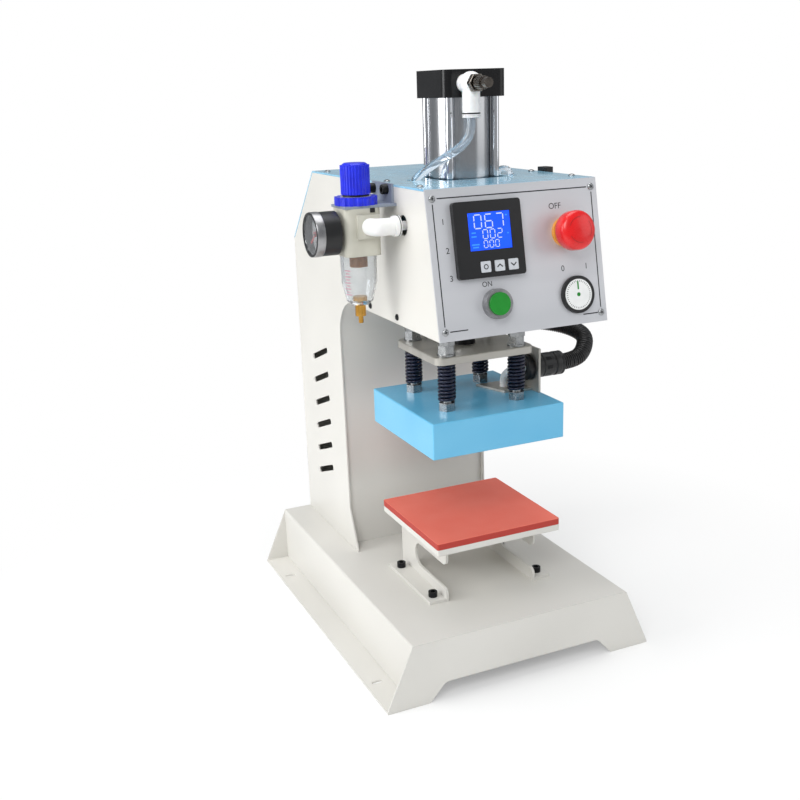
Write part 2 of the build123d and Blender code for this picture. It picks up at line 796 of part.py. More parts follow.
def make_gauge():
    """The pressure gauge's case, and the needle on its post."""
    back_x = regulator_x - regulator_half
    case = bar_x(regulator_y, gauge_z, gauge_radius, gauge_face_x, gauge_back_x)
    case += bar_x(regulator_y, gauge_z, stem_radius, gauge_back_x - 0.5, back_x)
    case -= bar_x(regulator_y, gauge_z, gauge_radius - gauge_rim, gauge_face_x - 1, gauge_face_x + 10)
    case += bar_x(regulator_y, gauge_z, needle_post, gauge_face_x + 4.5, gauge_face_x + 11)
    needle = bar_x(regulator_y, gauge_z, needle_radius, gauge_face_x + 5, gauge_face_x + 6.5)
    needle += block(gauge_face_x + 5.2, gauge_face_x + 6.2, regulator_y - 0.7, regulator_y + 0.7,
                    gauge_z - 2 * needle_radius, gauge_z + needle_length)
    turned = Pos(0, regulator_y, gauge_z) * Rot(-needle_rest, 0, 0)
    needle = turned * Pos(0, -regulator_y, -gauge_z) * needle
    needle -= bar_x(regulator_y, gauge_z, needle_post + running_fit, gauge_face_x, gauge_face_x + 9)
    return case, needle


# Lower table: two bent legs, a plate and a silicone pad.
def make_leg():
    """The right-hand leg, with its slot open to the front."""
    y1 = table_y + leg_offset + leg_depth / 2 + 2
    y0 = y1 - leg_depth
    slot_low = base_height + leg_slot_low
    slot_top = slot_low + leg_slot_height
    slot_end = y1 - leg_column
    outline = make_face(Polyline((y0, base_height), (y1, base_height), (y1, leg_top),
                                 (y0, leg_top), (y0, slot_top), (slot_end, slot_top),
                                 (slot_end, slot_low), (y0, slot_low), close=True))
    outline = fillet(near(outline, (slot_end, slot_top), (slot_end, slot_low)),
                     leg_slot_height / 2 - 0.1)
    outline = fillet(near(outline, (y0, slot_top), (y0, slot_low)), leg_corner)
    outer_x = leg_spacing / 2
    leg = side_sheet(outline, outer_x - leg_sheet, outer_x)
    leg += block(outer_x - leg_sheet, outer_x + leg_foot, y0 + 1, y1 - 3, base_height,
                 base_height + leg_sheet)
    leg += block(outer_x - flange_depth, outer_x, y0, y1, leg_top - leg_sheet, leg_top)
    for x, y in table_bolt_places():
        leg -= post(x, y, bolt_radius + hole_slack, base_height - 1, base_height + leg_sheet + 1)
    return leg


def make_table_bolts():
    seat = base_height + leg_sheet
    socket = extrude(RegularPolygon(2.9, 6), amount=5)
    bolts = []
    for x, y in table_bolt_places():
        bolt = post(x, y, bolt_head_radius, seat, seat + bolt_head_height)
        bolt += post(x, y, bolt_radius, base_height - sheet - 9, seat)
        bolt += Pos(x, y, base_height - sheet - 5) * extrude(RegularPolygon(5.7, 6), amount=5)
        bolts.append(bolt - Pos(x, y, seat + bolt_head_height - 3) * socket)
    return bolts


# Ram: piston and rod, nut, guide plate, guide rods and four springs.
def make_piston_rod():
    rod = post(0, ram_y, rod_radius, guide_top + rod_nut_height, barrel_top - gap)
    rod += post(0, ram_y, rod_neck_radius, guide_bottom, guide_top + rod_nut_height)
    piston_radius = barrel_radius - barrel_wall - running_fit
    rod += post(0, ram_y, piston_radius, barrel_top - gap - piston_thickness, barrel_top - gap)
    return rod


def make_rod_nut():
    nut = post(0, ram_y, rod_nut_radius, guide_top, guide_top + rod_nut_height)
    return nut - post(0, ram_y, rod_neck_radius + running_fit, guide_top - 1,
                      guide_top + rod_nut_height + 1)


def stud_places():
    return [(x, ram_y + y) for x in (-stud_x, stud_x) for y in (-stud_y, stud_y)]


def make_guide_plate():
    plate = Pos(0, ram_y, guide_bottom) * slab(guide_width, guide_depth, 0, guide_thickness,
                                               guide_corner)
    plate -= post(0, ram_y, rod_neck_radius + running_fit, guide_bottom - 1, guide_top + 1)
    for x, y in stud_places():
        plate -= post(x, y, stud_radius + 2 * running_fit, guide_bottom - 1, guide_top + 1)
    for x in (-guide_rod_x, guide_rod_x):
        plate -= post(x, guide_rod_y, guide_rod_radius - 1 + running_fit, guide_bottom - 1,
                      guide_top + 1)
    return chamfer(plate.edges().group_by(Axis.Z)[-1].filter_by(GeomType.LINE), 0.8)


def make_guide_rods():
    rods = []
    for x in (-guide_rod_x, guide_rod_x):
        rod = post(x, guide_rod_y, guide_rod_radius, guide_top, guide_top + guide_rod_length)
        rods.append(rod + post(x, guide_rod_y, guide_rod_radius - 1, guide_bottom, guide_top))
    return rods


def make_bushes():
    bushes = []
    for x in (-guide_rod_x, guide_rod_x):
        bush = post(x, guide_rod_y, bush_radius, head_floor - 4, mount_top + 6)
        bushes.append(bush - post(x, guide_rod_y, guide_rod_radius + running_fit,
                                  head_floor - 5, mount_top + 7))
    return bushes


def helix_point(centre, radius, rise, angle):
    return Vector(centre.X + radius * math.cos(angle), centre.Y + radius * math.sin(angle),
                  centre.Z + rise * angle / (2 * math.pi))


def helix_tangent(radius, rise, angle):
    slope = rise / (2 * math.pi)
    return Vector(-radius * math.sin(angle), radius * math.cos(angle), slope).normalized()


def biarc(start, start_way, end, end_way):
    """Two tangent arcs that join two points with the given directions."""
    chord = end - start
    both = start_way + end_way
    a = both.dot(both) - 4
    b = -2 * chord.dot(both)
    c = chord.dot(chord)
    reach = (-b - math.sqrt(b * b - 4 * a * c)) / (2 * a)
    if reach < 0:
        reach = (-b + math.sqrt(b * b - 4 * a * c)) / (2 * a)
    middle = (start + start_way * reach + end - end_way * reach) / 2
    first = Edge.make_tangent_arc(start, start_way, middle)
    second = Edge.make_tangent_arc(middle, first % 1, end)
    return [first, second]


def make_spring(x, y):
    """One compression spring, as an unbroken wire between the nut and the guide plate."""
    radius = (spring_diameter - spring_wire) / 2
    margin = spring_wire / 2 + gap
    rise = (spring_length - 2 * margin) / spring_turns
    centre = Vector(x, y, spring_bottom + margin)
    edges = []
    for quarter in range(4 * spring_turns):
        a0 = quarter * math.pi / 2
        a1 = a0 + math.pi / 2
        edges += biarc(helix_point(centre, radius, rise, a0), helix_tangent(radius, rise, a0),
                       helix_point(centre, radius, rise, a1), helix_tangent(radius, rise, a1))
    path = Wire(edges)
    section = Plane(origin=path @ 0, z_dir=path % 0) * Circle(spring_wire / 2)
    return sweep(section, path=path), rise - spring_wire


# Heater head: cover, board, plate, cartridges, studs and the cable bracket.
def heater_box(margin, z0, z1):
    return block(-heater_width / 2 + margin, heater_width / 2 - margin,
                 heater_y - heater_depth / 2 + margin, heater_y + heater_depth / 2 - margin, z0, z1)


def make_heater_cover():
    cover = heater_box(0, heater_bottom, heater_top)
    corners = cover.edges().filter_by(Axis.Z)
    rims = cover.edges().group_by(Axis.Z)[-1]
    cover = fillet(corners + rims, 1.5)
    cover -= heater_box(sheet, heater_bottom - 1, heater_top - sheet)
    for x, y in stud_places():
        cover -= post(x, y, stud_radius + running_fit, heater_bottom, heater_top + 1)
    cover -= post(lead_x, lead_y, lead_radius + hole_slack, heater_top - 2 * sheet, heater_top + 1)
    return cover


def make_insulation():
    board = heater_box(sheet + gap, heater_bottom + heating_thickness, heater_top - sheet)
    for x, y in stud_places():
        board -= post(x, y, stud_radius + running_fit, heater_bottom, heater_top)
    return board


def make_heating_plate():
    top = heater_bottom + heating_thickness
    plate = heater_box(sheet + gap, heater_bottom, top)
    for x, y in stud_places():
        plate -= post(x, y, stud_radius + running_fit, heater_bottom + heating_thickness / 2, top + 1)
    for x in (-cartridge_pitch / 2, cartridge_pitch / 2):
        plate -= bar_y(x, heater_bottom + heating_thickness / 2, cartridge_radius + running_fit,
                       heater_y - heater_depth, heater_y + heater_depth)
    return plate


def make_cartridges():
    reach = heater_depth / 2 - sheet - 2
    z = heater_bottom + heating_thickness / 2
    rods = [bar_y(x, z, cartridge_radius, heater_y - reach, heater_y + reach)
            for x in (-cartridge_pitch / 2, cartridge_pitch / 2)]
    return rods + [hose(lead_route, 2 * lead_radius, "heater leads")]


def make_studs():
    studs = []
    for x, y in stud_places():
        stud = post(x, y, stud_radius, heater_bottom + heating_thickness / 2 + gap, guide_top + 19)
        nut = extrude(RegularPolygon(nut_radius, 6), amount=nut_height)
        stud += Pos(x, y, heater_top) * nut
        stud += post(x, y, 10, guide_top, guide_top + 2)
        stud += Pos(x, y, guide_top + 2) * nut
        stud += Pos(x, y, guide_top + 2 + nut_height) * Rot(0, 0, 17) * extrude(
            RegularPolygon(nut_radius, 6), amount=4.6)
        studs.append(stud)
    return studs


def make_gland_bracket():
    gland_x, gland_y, gland_z = conduit_route[0]
    outer_x = bracket_x + bracket_sheet
    foot = make_face(Polyline((bracket_x - bracket_tail, gland_y + bracket_back + 3),
                              (bracket_x - bracket_heel, gland_y - 1),
                              (outer_x, gland_y - bracket_front),
                              (outer_x, gland_y + bracket_back), close=True))
    bracket = Pos(0, 0, heater_top) * extrude(foot, amount=bracket_sheet)
    bracket += block(bracket_x, outer_x, gland_y - bracket_half, gland_y + bracket_back, heater_top,
                     gland_z + bracket_rise)
    bracket -= bar_x(gland_y, gland_z, gland_neck + running_fit, bracket_x - 1, outer_x + 1)
    bracket -= post(lead_x, lead_y, lead_radius + hole_slack, heater_top - 1, heater_top + 5)
    return bracket


def make_gland_connector():
    gland_x, gland_y, gland_z = conduit_route[0]
    connector = bar_x(gland_y, gland_z, connector_flange, bracket_x - connector_inside, bracket_x)
    connector += bar_x(gland_y, gland_z, gland_neck, bracket_x - 1, bracket_x + bracket_sheet + 1)
    connector += bar_x(gland_y, gland_z, connector_radius, bracket_x + bracket_sheet, gland_x)
    return connector


def make_head_gland():
    gland_x, gland_y, gland_z = conduit_route[-1]
    gland = post(gland_x, gland_y, gland_nut, gland_z, head_floor)
    gland += post(gland_x, gland_y, gland_neck, gland_z, head_floor + sheet + 1)
    gland += post(gland_x, gland_y, gland_nut, head_floor + sheet, head_floor + sheet + 5)
    return gland


# Hoses along hand-chosen routes.
def corner_radii(route):
    points = [Vector(*point) for point in route]
    radii = []
    for before, corner, after in zip(points, points[1:], points[2:]):
        turn = math.radians((corner - before).get_angle(after - corner))
        shorter = min((corner - before).length, (after - corner).length)
        radii.append(0.45 * shorter / math.tan(turn / 2))
    return radii


def hose_path(route, label):
    radii = corner_radii(route)
    print(label, "arc radii", [round(radius, 1) for radius in radii])
    path = FilletPolyline(*route, radius=radii)
    print(label, "length", round(path.length, 1))
    return path


def hose(route, diameter, label):
    path = hose_path(route, label)
    section = Plane(origin=path @ 0, z_dir=path % 0) * Circle(diameter / 2)
    tube = sweep(section, path=path)
    ideal = math.pi * diameter ** 2 / 4 * path.length
    print(label, "volume over section times length", round(tube.volume / ideal, 4))
    return tube


def make_conduit():
    """The corrugated conduit: a ruled loft through four circles a rib, and its bore."""
    path = hose_path(conduit_route, "conduit")
    ribs = int(path.length / conduit_pitch)
    crest = conduit_diameter / 2
    root = crest - conduit_groove
    steps = ((0.0, root), (0.2, crest), (0.6, crest), (0.8, root))
    across = Vector(0, 0, 1)
    circles = []
    for rib in range(ribs):
        for share, radius in steps:
            place = (rib + share) / ribs
            along = path % place
            across = (across - along * across.dot(along)).normalized()
            plane = Plane(origin=path @ place, x_dir=across, z_dir=along)
            circles.append(plane * Circle(radius))
    end = Plane(origin=path @ 1, x_dir=across, z_dir=path % 1)
    circles.append(end * Circle(root))
    skin = loft(circles, ruled=True)
    bore_section = Plane(origin=path @ 0, z_dir=path % 0) * Circle(conduit_bore / 2)
    return skin - sweep(bore_section, path=path)


# Write each sub-part.
write("base_pan", make_base_pan())
right_plate = make_side_plate()
write("side_plate_right", right_plate)
elbow_hole = bar_x(port_face_y - elbow_reach, port_z, 10, -head_width, -side_inner + sheet)
write("side_plate_left", mirrored(right_plate) - elbow_hole)
write("column_front", make_column_front())
write("rear_cover", make_rear_cover())
write("power_inlet", make_power_inlet())
write("mount_plate", make_mount_plate())
write("top_cover", make_top_cover())
write("front_panel", make_front_panel())
write("frame_screws", *make_frame_screws())
write("cylinder_caps", make_cap(mount_top, True), make_cap(barrel_top, False))
write("cylinder_tube", make_barrel())
write("tie_rods", *make_tie_rods())
write("guide_bushes", *make_bushes())
write("air_fittings", *make_air_fittings())
write("flow_screw", make_flow_screw())
write("air_tube_upper", hose(upper_tube_route, upper_tube_diameter, "upper air tube"))
write("air_tube_lower", hose(lower_tube_route, lower_tube_diameter, "lower air tube"))
valve_body, valve_coil = make_valve()
write("solenoid_valve", valve_body)
write("valve_coil", valve_coil)
write("controller_case", make_controller())
for key_name, key_index in (("key_set", -1), ("key_up", 0), ("key_down", 1)):
    write(key_name, make_key(key_index))
write("clear_windows", *make_windows())
for part_name, part in zip(("estop_collar", "estop_stem", "estop_head"), make_estop()):
    write(part_name, part)
for part_name, part in zip(("start_bezel", "start_button"), make_start()):
    write(part_name, part)
for part_name, part in zip(("selector_bezel", "selector_knob"), make_selector()):
    write(part_name, part)
write("contact_blocks", *make_contact_blocks())
write("regulator_bracket", make_regulator_bracket())
write("regulator_body", make_regulator_body())
write("regulator_ring", make_regulator_ring())
write("regulator_knob", make_regulator_knob())
write("regulator_bowl", make_bowl())
write("filter_element", make_filter_element())
write("drain_valve", make_drain())
gauge_case, gauge_needle = make_gauge()
write("gauge_case", gauge_case)
write("gauge_needle", gauge_needle)
right_leg = make_leg()
write("table_legs", right_leg, mirrored(right_leg))
write("table_plate", Pos(0, table_y, leg_top) * slab(pad_width, pad_depth, 0, plate_thickness, 2))
write("silicone_pad", Pos(0, table_y, plate_top) * slab(pad_width, pad_depth, 0, pad_thickness, 2))
write("table_bolts", *make_table_bolts())
write("head_gland", make_head_gland())
write("conduit", make_conduit())
write("piston_rod", make_piston_rod())
write("rod_nut", make_rod_nut())
write("guide_plate", make_guide_plate())
write("guide_rods", *make_guide_rods())
springs = [make_spring(x, y) for x, y in stud_places()]
print("springs, least gap from turn to turn", round(min(free for _, free in springs), 2))
write("springs", *[spring for spring, _ in springs])
write("heater_cover", make_heater_cover())
write("insulation_board", make_insulation())
write("heating_plate", make_heating_plate())
write("cartridge_heaters", *make_cartridges())
write("platen_studs", *make_studs())
write("gland_bracket", make_gland_bracket())
write("gland_connector", make_gland_connector())
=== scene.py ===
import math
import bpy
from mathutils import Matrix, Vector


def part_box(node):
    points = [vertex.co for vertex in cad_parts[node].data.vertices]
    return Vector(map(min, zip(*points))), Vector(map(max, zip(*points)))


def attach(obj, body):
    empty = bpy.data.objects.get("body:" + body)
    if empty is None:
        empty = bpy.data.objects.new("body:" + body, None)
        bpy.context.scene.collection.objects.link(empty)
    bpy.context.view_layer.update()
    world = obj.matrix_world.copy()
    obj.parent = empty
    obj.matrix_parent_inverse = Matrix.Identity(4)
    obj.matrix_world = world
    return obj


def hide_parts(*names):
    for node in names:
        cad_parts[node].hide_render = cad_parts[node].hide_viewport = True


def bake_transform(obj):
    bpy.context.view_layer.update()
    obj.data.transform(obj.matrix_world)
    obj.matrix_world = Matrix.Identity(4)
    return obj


bl_info = {
    "name": "Hot stamping press looks",
    "version": (1, 0, 0),
    "blender": (4, 5, 0),
    "location": "View3D > Sidebar > Press",
    "description": "Dresses a bench hot stamping press with finishes, hoses, springs and marks",
    "category": "Object",
}

import bmesh
import bpy
from bpy.props import FloatProperty, IntProperty, PointerProperty, StringProperty
from mathutils import Matrix, Vector

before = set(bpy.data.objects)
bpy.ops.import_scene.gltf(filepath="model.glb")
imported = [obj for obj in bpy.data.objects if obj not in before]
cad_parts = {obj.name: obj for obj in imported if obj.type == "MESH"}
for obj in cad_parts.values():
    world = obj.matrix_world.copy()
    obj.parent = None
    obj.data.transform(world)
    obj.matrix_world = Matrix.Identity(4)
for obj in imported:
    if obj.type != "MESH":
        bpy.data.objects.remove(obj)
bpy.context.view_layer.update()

MM = 0.001
TURN = 2 * math.pi

# Places read from the frame, in metres
lid_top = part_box("top_cover")[1][2]
gauge_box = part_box("gauge_case")
bowl_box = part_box("regulator_bowl")
knob_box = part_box("regulator_knob")
pad_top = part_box("silicone_pad")[1][2]

# Sizes and places that the solids' source gives, since a box can't tell them
panel_tilt = math.radians(10.8)
panel_edge_y = -181.8 * MM
panel_low_z = 0.381
ram_axis_y = -75.5 * MM
nut_height = 8.6 * MM
spring_diameter = 19.5
spring_places = ((-42, -41), (42, -41), (-42, 41), (42, 41))
conduit_diameter = 18.7
upper_tube_diameter = 8.5
lower_tube_diameter = 6.0
spring_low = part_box("heater_cover")[1][2] + nut_height
spring_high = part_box("guide_plate")[0][2]

# Places on the panel, in millimetres: right of its middle, and down its slope
window_place = (-32.5, 42.8)
set_key_place = (-40.9, 76.1)
up_key_place = (-26.0, 76.1)
down_key_place = (-11.1, 76.1)
stop_place = (52.5, 50.7)
selector_place = (60.5, 112.7)
screw_x = 87
screw_inset = 9
border_low = 133.1

# Heights above the panel's face, in millimetres
display_face = 5.6
key_face = 6.8
selector_face = 3.4

# The panel's own frame: x to the right, y up its slope, z out of its face
PANEL = Matrix((
    (1, 0, 0, 0),
    (0, math.sin(panel_tilt), -math.cos(panel_tilt), panel_edge_y),
    (0, math.cos(panel_tilt), math.sin(panel_tilt), lid_top),
    (0, 0, 0, 1),
))

# Hose routes, in metres, from the same points as the solids
conduit_route = [(0.113, -0.092, 0.309), (0.134, -0.092, 0.309), (0.148, -0.088, 0.319),
                 (0.157, -0.076, 0.331), (0.150, -0.059, 0.338), (0.131, -0.042, 0.343),
                 (0.110, -0.026, 0.345), (0.092, -0.015, 0.340), (0.062, -0.006, 0.341),
                 (0.062, -0.006, 0.372)]
upper_tube_route = [(-0.013, -0.124, 0.581), (-0.013, -0.124, 0.568), (-0.018, -0.1205, 0.5565),
                    (-0.029, -0.112, 0.547), (-0.041, -0.102, 0.538), (-0.051, -0.090, 0.529),
                    (-0.057, -0.078, 0.518), (-0.057, -0.078, 0.505)]
lower_tube_route = [(0.044, -0.104, 0.506), (0.044, -0.104, 0.518), (0.045, -0.097, 0.5255),
                    (0.0465, -0.084, 0.527), (0.048, -0.071, 0.525), (0.049, -0.064, 0.5175),
                    (0.049, -0.064, 0.506)]


class PressFinish(bpy.types.PropertyGroup):
    """Colours of the main finishes, as sRGB hex."""
    frame_paint: StringProperty(name="Frame paint", description="Powder coat of the frame",
                                default="#D9D7D1")
    head_paint: StringProperty(name="Heater paint", description="Light blue heater cover",
                               default="#5FB4DC")
    silicone: StringProperty(name="Silicone", description="Pad of the lower table",
                             default="#F07A68")
    display: StringProperty(name="Display", description="Backlight of the controller",
                            default="#0A55FF")


class PressSizes(bpy.types.PropertyGroup):
    """Sizes that a user would change, in millimetres."""
    spring_wire: FloatProperty(name="Spring wire", description="Wire diameter", default=3.3,
                               min=1.0, max=3.7)
    spring_turns: IntProperty(name="Spring turns", description="Turns of each spring",
                              default=10, min=4, max=11)
    conduit_pitch: FloatProperty(name="Rib pitch", description="Pitch of the conduit's ribs",
                                 default=2.6, min=1.5, max=6.0)
    panel_line: FloatProperty(name="Panel line", description="Width of the printed border",
                              default=1.1, min=0.3, max=3.0)


class PressCamera(bpy.types.PropertyGroup):
    """The photograph's viewpoint."""
    lens: FloatProperty(name="Lens", description="Focal length on a 36 mm sensor",
                        default=47.29, min=10, max=200)
    yaw: FloatProperty(name="Yaw", description="Heading from +Y towards +X", subtype="ANGLE",
                       default=math.radians(23.72))
    pitch: FloatProperty(name="Pitch", description="Downward tilt", subtype="ANGLE",
                         default=math.radians(16.6))
    roll: FloatProperty(name="Roll", description="Roll about the view", subtype="ANGLE",
                        default=math.radians(-1.91))


def linear(hex_colour):
    """Turns an sRGB hex colour into linear RGBA."""
    parts = [int(hex_colour[i:i + 2], 16) / 255 for i in (1, 3, 5)]
    bent = [c / 12.92 if c <= 0.04045 else ((c + 0.055) / 1.055) ** 2.4 for c in parts]
    return (*bent, 1.0)


def add(tree, kind, values=(), links=(), **settings):
    """Adds one node with its settings, socket values and incoming links."""
    new = tree.nodes.new(kind)
    for name, value in settings.items():
        setattr(new, name, value)
    for socket, value in dict(values).items():
        new.inputs[socket].default_value = value
    for socket, source in dict(links).items():
        tree.links.new(source, new.inputs[socket])
    return new


def texture(tree, grain_mm, stretch=(1, 1, 1), detail=2.0, source="Object"):
    """Noise whose grain is so many millimetres, stretched along some axes."""
    place = add(tree, "ShaderNodeTexCoord").outputs[source]
    scaled = add(tree, "ShaderNodeMapping", {"Scale": stretch}, {"Vector": place})
    return add(tree, "ShaderNodeTexNoise", {"Scale": 1 / (grain_mm * MM), "Detail": detail},
               {"Vector": scaled.outputs[0]}).outputs[0]


def spread(tree, source, low, high):
    """Spreads the middle of a noise over the range from low to high."""
    return add(tree, "ShaderNodeMapRange", {"From Min": 0.3, "From Max": 0.7, "To Min": low,
                                            "To Max": high}, {"Value": source}).outputs[0]


def tinted(tree, fac, first, second):
    """Mixes two hex colours by a factor."""
    mix = add(tree, "ShaderNodeMix", {6: linear(first), 7: linear(second)}, {0: fac},
              data_type="RGBA")
    return mix.outputs[2]


def rough_and_bumped(tree, fine, depth_mm, edge_mm=0.0, low=0.3, high=0.4):
    """Roughness from a fine grain, with its bump over softly rounded edges."""
    bump_values = {"Strength": 1.0, "Distance": depth_mm * MM}
    links = {"Height": fine}
    if edge_mm > 0:
        rounded = add(tree, "ShaderNodeBevel", {"Radius": edge_mm * MM}, samples=4)
        links["Normal"] = rounded.outputs[0]
    bump = add(tree, "ShaderNodeBump", bump_values, links)
    return {"Roughness": spread(tree, fine, low, high), "Normal": bump.outputs[0]}


def finish(name, colour, second, grain_mm, depth_mm, rough, metallic=0.0, stretch=(1, 1, 1),
           edge_mm=0.0, blotch_mm=40.0, source="Object", **sockets):
    """A finish: two close colours in soft blotches, and a fine grain for roughness and bump."""
    known = bpy.data.materials.get(name)
    if known:
        return known
    material = bpy.data.materials.new(name)
    material.use_nodes = True
    tree = material.node_tree
    shader = tree.nodes["Principled BSDF"]
    shader.inputs["Metallic"].default_value = metallic
    for socket, value in sockets.items():
        shader.inputs[socket.replace("_", " ")].default_value = value
    fine = texture(tree, grain_mm, stretch, source=source)
    broad = texture(tree, blotch_mm, stretch, 1.0, source)
    tree.links.new(tinted(tree, spread(tree, broad, 0.0, 1.0), colour, second),
                   shader.inputs["Base Color"])
    for socket, out in rough_and_bumped(tree, fine, depth_mm, edge_mm, *rough).items():
        tree.links.new(out, shader.inputs[socket])
    return material


# Powder coat, baked on: a slight orange peel, semi-gloss, with soft folded edges.
def powder_coat():
    colour = bpy.context.scene.press_finish.frame_paint
    return finish("powder_coated_steel", colour, "#D2D0CA", 1.4, 0.02, (0.34, 0.44),
                  edge_mm=1.2, blotch_mm=120, Coat_Weight=0.15, Coat_Roughness=0.2)


# Sprayed light blue enamel: even and smooth, its edges catch the light.
def blue_enamel():
    colour = bpy.context.scene.press_finish.head_paint
    return finish("sprayed_blue_enamel", colour, "#6BBBE0", 2.5, 0.012, (0.3, 0.4),
                  edge_mm=1.0, blotch_mm=70, Coat_Weight=0.25, Coat_Roughness=0.15)


# Protective film left on the lid: a glossy blue skin with shallow wrinkles.
def lid_film():
    return finish("blue_film_on_steel", "#86C6E6", "#A4D7EE", 9.0, 0.05, (0.16, 0.3),
                  metallic=0.1, stretch=(1, 0.4, 1), edge_mm=0.8, blotch_mm=45,
                  Coat_Weight=0.6, Coat_Roughness=0.08)


# Brushed aluminium sheet: long fine lines from side to side, drawn 0.5 mm wide to show.
def brushed_panel():
    return finish("brushed_aluminium", "#CDCED2", "#C2C4C8", 0.5, 0.004, (0.36, 0.5),
                  metallic=0.4, stretch=(0.02, 1, 1), edge_mm=0.6, blotch_mm=30)


# Extruded barrel, polished along its length: faint draw lines and a bright reflection.
def polished_barrel():
    return finish("polished_extruded_aluminium", "#B9BABC", "#A9ABAE", 0.8, 0.003, (0.16, 0.26),
                  metallic=1.0, stretch=(1, 1, 0.02), blotch_mm=18)


# Black anodised caps: a satin black that keeps a soft highlight.
def black_anodising():
    return finish("black_anodised_aluminium", "#0B0B0C", "#141415", 0.6, 0.004, (0.2, 0.3),
                  metallic=0.35, edge_mm=0.8, blotch_mm=20)


# Ground steel plate: fine crossing grind marks and slight warm tarnish.
def ground_steel():
    return finish("ground_steel", "#BFBCB5", "#ABA8A1", 0.7, 0.006, (0.3, 0.45),
                  metallic=0.7, stretch=(0.06, 1, 1), edge_mm=0.6, blotch_mm=24)


# Zinc plate on nuts and screws: mid grey, bright, slightly cloudy.
def zinc_plate():
    return finish("bright_zinc_plated_steel", "#A3A5A6", "#8E9092", 0.9, 0.004, (0.22, 0.36),
                  metallic=1.0, edge_mm=0.4, blotch_mm=7)


# Hard chrome: a near mirror with faint lines along the rod.
def hard_chrome():
    return finish("hard_chromed_rod", "#DEDFE2", "#D2D4D8", 0.6, 0.002, (0.05, 0.12),
                  metallic=1.0, stretch=(1, 1, 0.1), blotch_mm=15)


# Satin chrome: grey metal that blurs what it reflects.
def satin_chrome():
    return finish("satin_chromed_brass", "#A8A8A9", "#979799", 0.4, 0.004, (0.26, 0.36),
                  metallic=1.0, edge_mm=0.5, blotch_mm=6)


# Nickel plate: warm dark metal, quite bright.
def nickel():
    return finish("nickel_plated_brass", "#7C756D", "#67615B", 0.5, 0.003, (0.12, 0.26),
                  metallic=1.0, edge_mm=0.3, blotch_mm=5)


# Black oxide: dark steel with a dull sheen.
def black_oxide():
    return finish("black_oxide_steel", "#111214", "#1B1C1F", 0.5, 0.006, (0.3, 0.45),
                  metallic=0.6, edge_mm=0.3, blotch_mm=5)


# Blued spring wire: navy, nearly black, lightly oiled.
def blued_wire():
    return finish("blued_spring_wire", "#0B0F26", "#141A36", 0.8, 0.006, (0.26, 0.4),
                  metallic=0.35, blotch_mm=6, Coat_Weight=0.2, Coat_Roughness=0.2)


# Turned brass: yellow metal with a fine grain.
def turned_brass():
    return finish("turned_brass", "#C79A4C", "#AD7F38", 0.4, 0.004, (0.14, 0.28),
                  metallic=1.0, stretch=(1, 1, 0.3), edge_mm=0.2, blotch_mm=4)


# Sintered bronze: pressed grains with open pores between them.
def sintered_bronze():
    return finish("sintered_bronze", "#A9713C", "#8A5629", 0.5, 0.12, (0.5, 0.7),
                  metallic=0.5, blotch_mm=3)


# White fittings: smooth moulding, slightly soft in the light.
def white_fitting():
    return finish("moulded_white_pbt", "#EDEDEC", "#E4E4E3", 0.8, 0.006, (0.28, 0.38),
                  edge_mm=0.5, blotch_mm=9, Subsurface_Weight=0.05, Subsurface_Scale=0.002)


# Painted casting: cream, a little rough, with rounded edges.
def cream_casting():
    return finish("painted_zinc_casting", "#C7C5B9", "#BDBBAE", 1.0, 0.02, (0.4, 0.55),
                  edge_mm=1.4, blotch_mm=14)


# Blue nylon: strong colour with a faint gloss.
def blue_nylon():
    return finish("moulded_blue_nylon", "#0A1CC8", "#0E26DC", 0.8, 0.01, (0.3, 0.42),
                  edge_mm=0.3, blotch_mm=9, Coat_Weight=0.15)


# Black plastic: fine moulded grain, half matt; also painted shade in the regulator knob's groove.
def black_plastic():
    return finish("moulded_black_abs_and_painted_shade", "#0C0C0E", "#121214", 0.5, 0.008, (0.34, 0.46),
                  edge_mm=0.5, blotch_mm=12)


# Key caps: pale grey and smooth.
def grey_key():
    return finish("moulded_grey_keycap", "#C9CDD2", "#C0C4C9", 0.5, 0.004, (0.35, 0.45),
                  edge_mm=0.5, blotch_mm=4)


# Amber collar: warm plastic that lets a little light in.
def amber_plastic():
    return finish("moulded_amber_pc", "#F0A63A", "#E99A2E", 0.6, 0.004, (0.25, 0.35),
                  blotch_mm=8, Subsurface_Weight=0.1, Subsurface_Scale=0.003)


# Stop button: bright red, half gloss.
def red_plastic():
    return finish("moulded_red_pc", "#E30A0E", "#D5080C", 0.7, 0.006, (0.24, 0.36),
                  blotch_mm=12, Coat_Weight=0.25, Coat_Roughness=0.15)


# Start button: deep green, half matt.
def green_plastic():
    return finish("moulded_green_pc", "#0B8A22", "#08801E", 0.6, 0.004, (0.3, 0.4),
                  blotch_mm=8, edge_mm=0.4)


# Silicone sheet: matt, with a faint cast texture; its sides are painted a darker red than its top
# face, as painted shade.
def silicone():
    colour = bpy.context.scene.press_finish.silicone
    material = finish("cast_red_silicone", colour, "#EE7361", 0.9, 0.02, (0.5, 0.62),
                      edge_mm=0.5, blotch_mm=30)
    tree = material.node_tree
    base = tree.nodes["Principled BSDF"].inputs["Base Color"]
    skin = base.links[0].from_socket
    place = add(tree, "ShaderNodeTexCoord").outputs["Object"]
    height = add(tree, "ShaderNodeSeparateXYZ", (), {0: place}).outputs[2]
    # Painted shade: below its top face the pad's sides are mixed to a darker red.
    painted_shade_depths = {"From Min": pad_top - 0.5 * MM, "From Max": pad_top - 0.1 * MM}
    share = add(tree, "ShaderNodeMapRange", painted_shade_depths, {"Value": height}).outputs[0]
    mix = add(tree, "ShaderNodeMix", {6: linear("#B03226")}, {0: share, 7: skin}, data_type="RGBA")
    tree.links.new(mix.outputs[2], base)
    return material


